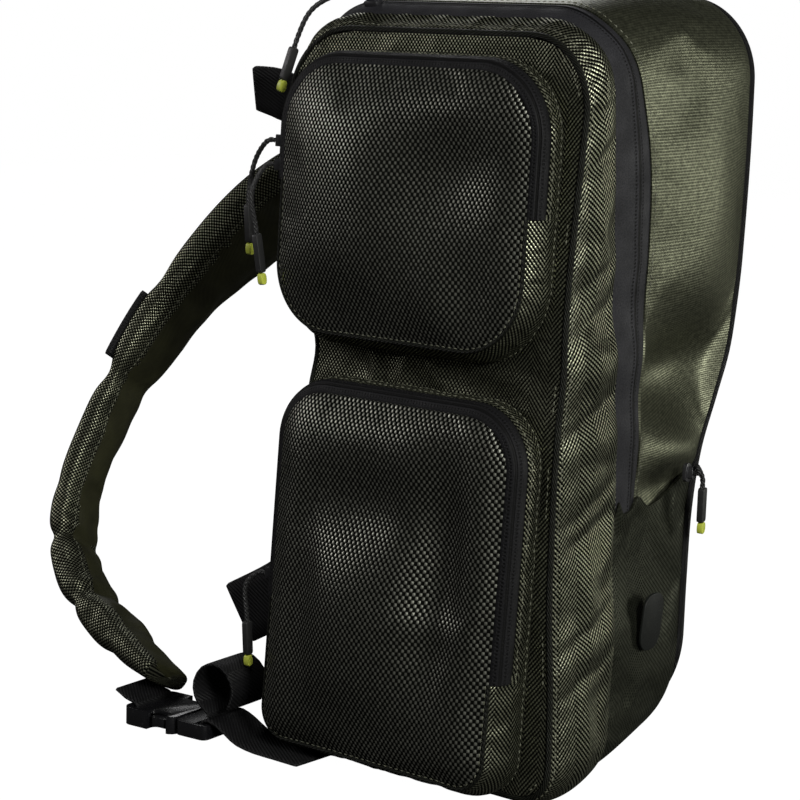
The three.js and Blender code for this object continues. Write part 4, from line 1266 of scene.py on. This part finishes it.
def pocket_reach(pocket, z):
    outline = pocket["outline"]
    share = clamp((z - outline["bottom"]) / (outline["top"] - outline["bottom"]))
    return mix(*pocket["depth"], share)


def dent_at(pocket, x, z):
    return sum(
        d["sink"] * math.exp(-((x - d["x"]) / d["across"]) ** 2 - ((z - d["z"]) / d["up"]) ** 2)
        for d in pocket["dents"]
    )


def inside_by(outline, x, z, inset=0.0):
    middle = (outline["top"] + outline["bottom"]) / 2
    radius = (outline["top_radius"] if z > middle else outline["bottom_radius"]) - inset
    qx = abs(x - outline["centre"]) - (outline["half_width"] - inset - radius)
    qz = abs(z - middle) - ((outline["top"] - outline["bottom"]) / 2 - inset - radius)
    return radius - math.hypot(max(qx, 0), max(qz, 0)) - min(max(qx, qz), 0)


def face_size(outline, x, z):
    centre, middle = outline["centre"], (outline["top"] + outline["bottom"]) / 2
    low, high = 0.0, 1.0
    for _ in range(16):
        size = (low + high) / 2
        grown = (centre + (x - centre) / size, middle + (z - middle) / size)
        if inside_by(outline, *grown, SHOULDER) > 0:
            high = size
        else:
            low = size
    return (low + high) / 2


def panel_front(z):
    return front_seam(z) - CLOTH / 2 - SEWN_GAP


def pocket_face_point(pocket, x, z):
    outline = pocket["outline"]
    depth_in = inside_by(outline, x, z)
    if depth_in < SHOULDER:
        out = rise_at(depth_in) * pocket_reach(pocket, z)
    else:
        size = face_size(outline, x, z)
        out = pocket_reach(pocket, z) + pocket["crown"] * (1 - size ** pocket["boxy"])
        out -= dent_at(pocket, x, z) * (1 - size ** 4)
    return Vector((x, panel_front(z) - out, z))


def pocket_side_point(pocket, loop, step, outward=0.0):
    inset, rise = profile(step, "inset"), profile(step, "rise")
    ahead, behind = min(step + PROFILE_STEP, 1), max(step - PROFILE_STEP, 0)
    run = profile(ahead, "inset") - profile(behind, "inset")
    climb = USUAL_DEPTH * (profile(ahead, "rise") - profile(behind, "rise"))
    length = math.hypot(run, climb)
    x, z = outline_point(pocket["outline"], loop, inset - outward * climb / length)
    out = rise * pocket_reach(pocket, z) + outward * run / length
    return Vector((x, panel_front(z) - out, z))


def zip_range(pocket):
    right_end, left_end = (loop_at_height(pocket["outline"], height) for height in pocket["zip"])
    return right_end, 1 - left_end


# %% [markdown]
# Each pouch has four pieces: its face, its gusset, the zip tape and the corded seam. Upper
# and lower pouch differ only in their sizes, so the same four functions make both.

# %% Pocket pieces
ZIP_END_EASE, CORD_PROUD, POCKET_CORD, SEAM_STEPS = 0.004, 0.0002, 0.0011, 200


def pocket_face(pocket):
    outline = pocket["outline"]
    inset = profile(ZIP_HIGH, "inset")

    def place(u, v):
        z = mix(outline["bottom"] + inset, outline["top"] - inset, rounded_rows(v))
        half = panel_limit(outline, z, inset)
        return pocket_face_point(pocket, outline["centre"] + half * (2 * u - 1), z)

    piece = lay_cloth(pocket["name"] + "_face", 56, 64, place)
    plan_uv(piece)
    return piece


def pocket_gusset(pocket, start, end):
    def place(u, v):
        beside = clamp(min(u - start, end - u) / ZIP_END_EASE)
        return pocket_side_point(pocket, u, mix(0.0, mix(ZIP_HIGH, ZIP_LOW, beside), v))

    return lay_cloth(pocket["name"] + "_gusset", 340, 8, place, closed=True, swap=True)


def pocket_zip(pocket, start, end):
    def place(u, v):
        step = mix(ZIP_LOW - PROFILE_STEP, ZIP_HIGH + PROFILE_STEP, v)
        swell = zip_swell(v, 0.0040, 0.0004)
        return pocket_side_point(pocket, mix(start, end, u), step, swell)

    return lay_cloth(pocket["name"] + "_zip_tape", 240, 18, place, flat_width=POCKET_TAPE)


def pocket_cord(pocket, start, end):
    loops = [mix(end, 1 + start, k / SEAM_STEPS) for k in range(SEAM_STEPS + 1)]
    path = [pocket_side_point(pocket, loop, ZIP_HIGH, CORD_PROUD) for loop in loops]
    return tube(pocket["name"] + "_seam_cord", path, POCKET_CORD, sides=8)


pocket_cloth = {}
for pocket in (UPPER, LOWER):
    name, ends = pocket["name"], zip_range(pocket)
    face = tailor(pocket_face(pocket), "ballistic", pouch_cloth, name,
                  slack=dict(spare=0.0015, push=0.2, cap=0.002, stiff=3.0))
    gusset = tailor(pocket_gusset(pocket, *ends), "ballistic", strip_cloth,
                    slack=dict(spare=0.02, push=0.2, cap=0.0015))
    tailor(pocket_zip(pocket, *ends), "zip", pocket_zip_finish, name + "_zip",
           thickness=TAPE_THICK, levels=0)
    # The pocket's cord carries the same painted shade of its seam's groove.
    dress(pocket_cord(pocket, *ends), "ballistic", seam_cord)
    pocket_cloth[name] = (face, gusset)

# %% [markdown]
# ## Shoulder strap
# The strap is foam in a sewn cover: coarse nylon outside and on the edges, satin on the
# face that lies on the shoulder. A bent box would look like a plank, so its sections are
# laid along the same centre line as the solid's and pinched at its creases. The cover is
# then blown up softly by the Cloth modifier, and its ends are closed.

# %% Strap form
STRAP = table(
    "x y z width thick turn",
    (-0.038, 0.1206, 0.399, 0.076, 0.008, 90),
    (-0.084, 0.1216, 0.379, 0.078, 0.010, 88),
    (-0.136, 0.117, 0.353, 0.080, 0.012, 74),
    (-0.178, 0.086, 0.330, 0.078, 0.013, 46),
    (-0.214, 0.045, 0.302, 0.074, 0.014, 22),
    (-0.252, 0.005, 0.248, 0.067, 0.014, 2),
    (-0.272, -0.030, 0.191, 0.062, 0.014, -12),
    (-0.283, -0.060, 0.128, 0.059, 0.014, -22),
    (-0.275, -0.075, 0.094, 0.058, 0.014, -24),
    (-0.251, -0.088, 0.063, 0.058, 0.014, -18),
    (-0.207, -0.098, 0.0395, 0.060, 0.014, -8),
    (-0.164, -0.104, 0.0244, 0.058, 0.013, 0),
)
STRAP_CREASES = table(
    "at reach sink",
    (0.55, 0.012, 0.36), (0.66, 0.02, 0.12), (0.745, 0.012, 0.4), (0.85, 0.012, 0.4),
    (0.93, 0.02, 0.15),
)
STRAP_PLUMP, EDGE_BAND, END_ROLL, END_HELD = 1.3, 0.016, -26, 0.045
STRAP_ROWS, STRAP_SIDES, FRAME_STEPS, NEAR = 200, 36, 80, 1e-3
EDGE_WAVE, LINING_WAVE, LINING_FROM = 0.1, 0.25, 0.2
STRAP_POINTS = [Vector((row["x"], row["y"], row["z"])) for row in STRAP]
strap_centre = partial(point_along, STRAP_POINTS)


def strap_frame(share):
    last = len(STRAP) - 1
    at = clamp(share) * last
    k = min(int(at), last - 1)
    row = {column: mix(STRAP[k][column], STRAP[k + 1][column], at - k)
           for column in ("width", "thick", "turn")}
    ahead, behind = strap_centre(min(share + NEAR, 1)), strap_centre(max(share - NEAR, 0))
    tangent = (ahead - behind).normalized()
    sideways = Vector((0, 1, 0))
    sideways = (sideways - sideways.dot(tangent) * tangent).normalized()
    roll_in = row["turn"] + END_ROLL * clamp((share - 0.74) / 0.2)
    sideways = Matrix.Rotation(math.radians(roll_in), 3, tangent) @ sideways
    return strap_centre(share), sideways, tangent.cross(sideways).normalized(), row


def strap_place(u, v):
    centre, sideways, normal, row = strap_frame(u)
    pinch = 1 - sum(c["sink"] * bell(u - c["at"], c["reach"]) for c in STRAP_CREASES)
    angle = 2 * math.pi * v
    across = math.copysign(abs(math.cos(angle)) ** 0.55, math.cos(angle))
    up = math.copysign(abs(math.sin(angle)) ** 0.65, math.sin(angle))
    if across > 0:
        across *= 1 + EDGE_WAVE * noise.noise(Vector((u * 34, 0.7, 0.2)))
    if up > 0:
        up *= 1 + LINING_WAVE * noise.noise(Vector((u * 40, across * 1.3, 0.5)))
    slim = 1 - 0.14 * clamp((u - 0.45) / 0.15) - 0.15 * clamp((u - 0.86) / 0.14)
    width = row["width"] * slim * (1 - 0.25 * (1 - pinch))
    plump = 1 + 0.25 * clamp((u - 0.8) / 0.1) - 0.5 * clamp((u - 0.94) / 0.06)
    thick = row["thick"] * STRAP_PLUMP * pinch * plump
    return centre + sideways * across * width / 2 + normal * up * thick / 2


STRAP_MIDDLES = [strap_centre(k / 40) for k in range(41)]


def strap_axis(point):
    return min(STRAP_MIDDLES, key=lambda middle: (middle - point).length)


strap = lay_cloth("shoulder_strap_cover", STRAP_ROWS, STRAP_SIDES, strap_place, closed=True)
face_out(strap, strap_axis)
ends = strap_centre(0), strap_centre(1)
held = [v.index for v in strap.data.vertices if min((v.co - end).length for end in ends) < END_HELD]
settle(strap, spare=0.03, push=3.0, cap=0.003, pinned=held, frames=16)
close_ends(strap)
apply(strap, "SUBSURF", levels=1, render_levels=1)
smooth(strap, 60)
dress(strap, "ballistic", strap_cloth, "shoulder_strap")
strap.data.materials.append(strap_lining)
frames = [strap_frame(k / FRAME_STEPS) for k in range(FRAME_STEPS + 1)]
for face in strap.data.polygons:
    nearest = min(frames, key=lambda at: (at[0] - face.center).length_squared)
    centre, sideways, normal, row = nearest
    inner = (face.center - centre).dot(normal) > LINING_FROM * row["thick"]
    inside_band = (face.center - centre).dot(sideways) > EDGE_BAND - row["width"] / 2
    face.material_index = 1 if inner and inside_band else 0

# %% [markdown]
# ## Stitches
# Rows of thread run beside the seams. A drawn line would not catch the light, so each stitch
# is a flattened ball, and a row is one mesh: the ball is repeated along a line at an even
# pitch, pressed onto the cloth.

# %% Stitches
STITCH_PITCH, STITCH_LENGTH, STITCH_WIDTH, STITCH_HEIGHT = 0.0042, 0.0014, 0.0005, 0.0004
PANEL_ROW, GUSSET_ROW, BESIDE_ZIP, BESIDE_LINING = 0.0042, 0.0048, 0.003, 0.003
UNDER_ZIP, FOOT_ROW, OVER_SEAM, ON_LINING = ZIP_LOW - 0.08, 0.1, ZIP_HIGH + 0.05, 0.6


def evenly(line, pitch):
    spots, due = [], 0.0
    for a, b in zip(line, line[1:]):
        span = (b - a).length
        while due < span:
            spots.append((a.lerp(b, due / span), (b - a).normalized()))
            due += pitch
        due -= span
    return spots


def sew(name, cloth, line):
    bpy.ops.object.select_all(action="DESELECT")
    bpy.ops.mesh.primitive_ico_sphere_add(subdivisions=1, radius=1)
    piece = bpy.context.object
    piece.name = piece.data.name = name
    ball = [vertex.co.copy() for vertex in piece.data.vertices]
    sides = [tuple(face.vertices) for face in piece.data.polygons]
    points, faces = [], []
    for spot, ahead in evenly(line, STITCH_PITCH):
        _, place, outward, _ = cloth.closest_point_on_mesh(spot)
        ahead = (ahead - ahead.dot(outward) * outward).normalized()
        beside = outward.cross(ahead)
        faces += [tuple(corner + len(points) for corner in side) for side in sides]
        points += [place + ahead * STITCH_LENGTH * c.x + beside * STITCH_WIDTH * c.y
                   + outward * STITCH_HEIGHT * c.z for c in ball]
    piece.data.clear_geometry()
    piece.data.from_pydata(points, [], faces)
    piece.data.uv_layers.new(name="UVMap")
    plan_uv(piece)
    smooth(piece, 80)
    return dress(piece, "webbing", sewing_thread)


def beside_zip(loop):
    return zip_share(loop) + zip_half(loop) + BESIDE_ZIP / body_depth(loop)


turns = [k / 400 for k in range(401)]
sew("front_panel_stitches", front_panel, [body_point(t, 0, -PANEL_ROW) for t in turns])
sew("front_gusset_stitches", front_gusset,
    [body_point(t, GUSSET_ROW / body_depth(t)) for t in turns])
zip_turns = [mix(ZIP_END, 1 - ZIP_END, t) for t in turns]
sew("rear_gusset_stitches", rear_gusset, [body_point(t, beside_zip(t)) for t in zip_turns])
for pocket in (UPPER, LOWER):
    name = pocket["name"]
    face, gusset = pocket_cloth[name]
    start, end = zip_range(pocket)
    for row, cloth, step, first, last in (
        ("_zip_stitches", gusset, UNDER_ZIP, start, end),
        ("_foot_stitches", gusset, FOOT_ROW, 0, 1),
        ("_edge_stitches", face, OVER_SEAM, end, 1 + start),
    ):
        seam = [pocket_side_point(pocket, mix(first, last, t), step) for t in turns]
        sew(name + row, cloth, seam)
strap_line = []
for share in turns[60:391]:
    centre, sideways, normal, row = strap_frame(share)
    across = EDGE_BAND - BESIDE_LINING - row["width"] / 2
    strap_line.append(centre + sideways * across + normal * row["thick"] * ON_LINING)
sew("strap_stitches", strap, strap_line)

# %% [markdown]
# ## Webbing
# Tabs, loop and ends of webbing are flat bands that keep their woven width. The Cloth
# modifier would curl them, so they are copies of the solids with creased edges, rounded
# along their length by subdivision.

# %% Webbing copies
BANDS = ("strap_anchor", "side_tab", "top_tab", "strap_webbing", "base_webbing",
         "webbing_loop", "strap_keeper")
BAND_EDGE, EDGE_CREASE = math.radians(50), 0.9


def box_uv(piece):
    while piece.data.uv_layers:
        piece.data.uv_layers.remove(piece.data.uv_layers[0])
    with editing(piece):
        bpy.ops.uv.cube_project(cube_size=2.0, correct_aspect=False, scale_to_bounds=False)
    piece.data.uv_layers.active.name = "UVMap"


for node in BANDS:
    band = copy_solid(node, node + "_woven")
    with editing(band, "DESELECT"):
        bpy.ops.mesh.edges_select_sharp(sharpness=BAND_EDGE)
        bpy.ops.transform.edge_crease(value=EDGE_CREASE)
    apply(band, "SUBSURF", levels=2, render_levels=2)
    box_uv(band)
    smooth(band, 45)
    dress(band, "webbing", black_webbing, node)

# %% [markdown]
# ## Buckle and badge
# Moulded parts keep the solids' shapes. They could be modelled anew, but only their edges
# need more: bevels catch the light. The badge is left blank and sits sunk in the cloth.

# %% Buckle and badge
BADGE_SUNK = 0.002
for node in ("buckle_socket", "buckle_prong"):
    moulded_copy(node, node + "_moulded", "plastic", gloss_plastic, 0.0009)
badge = moulded_copy("badge", "blank_badge", "rubber", badge_rubber, 0.0005)
for vertex in badge.data.vertices:
    vertex.co.x -= BADGE_SUNK
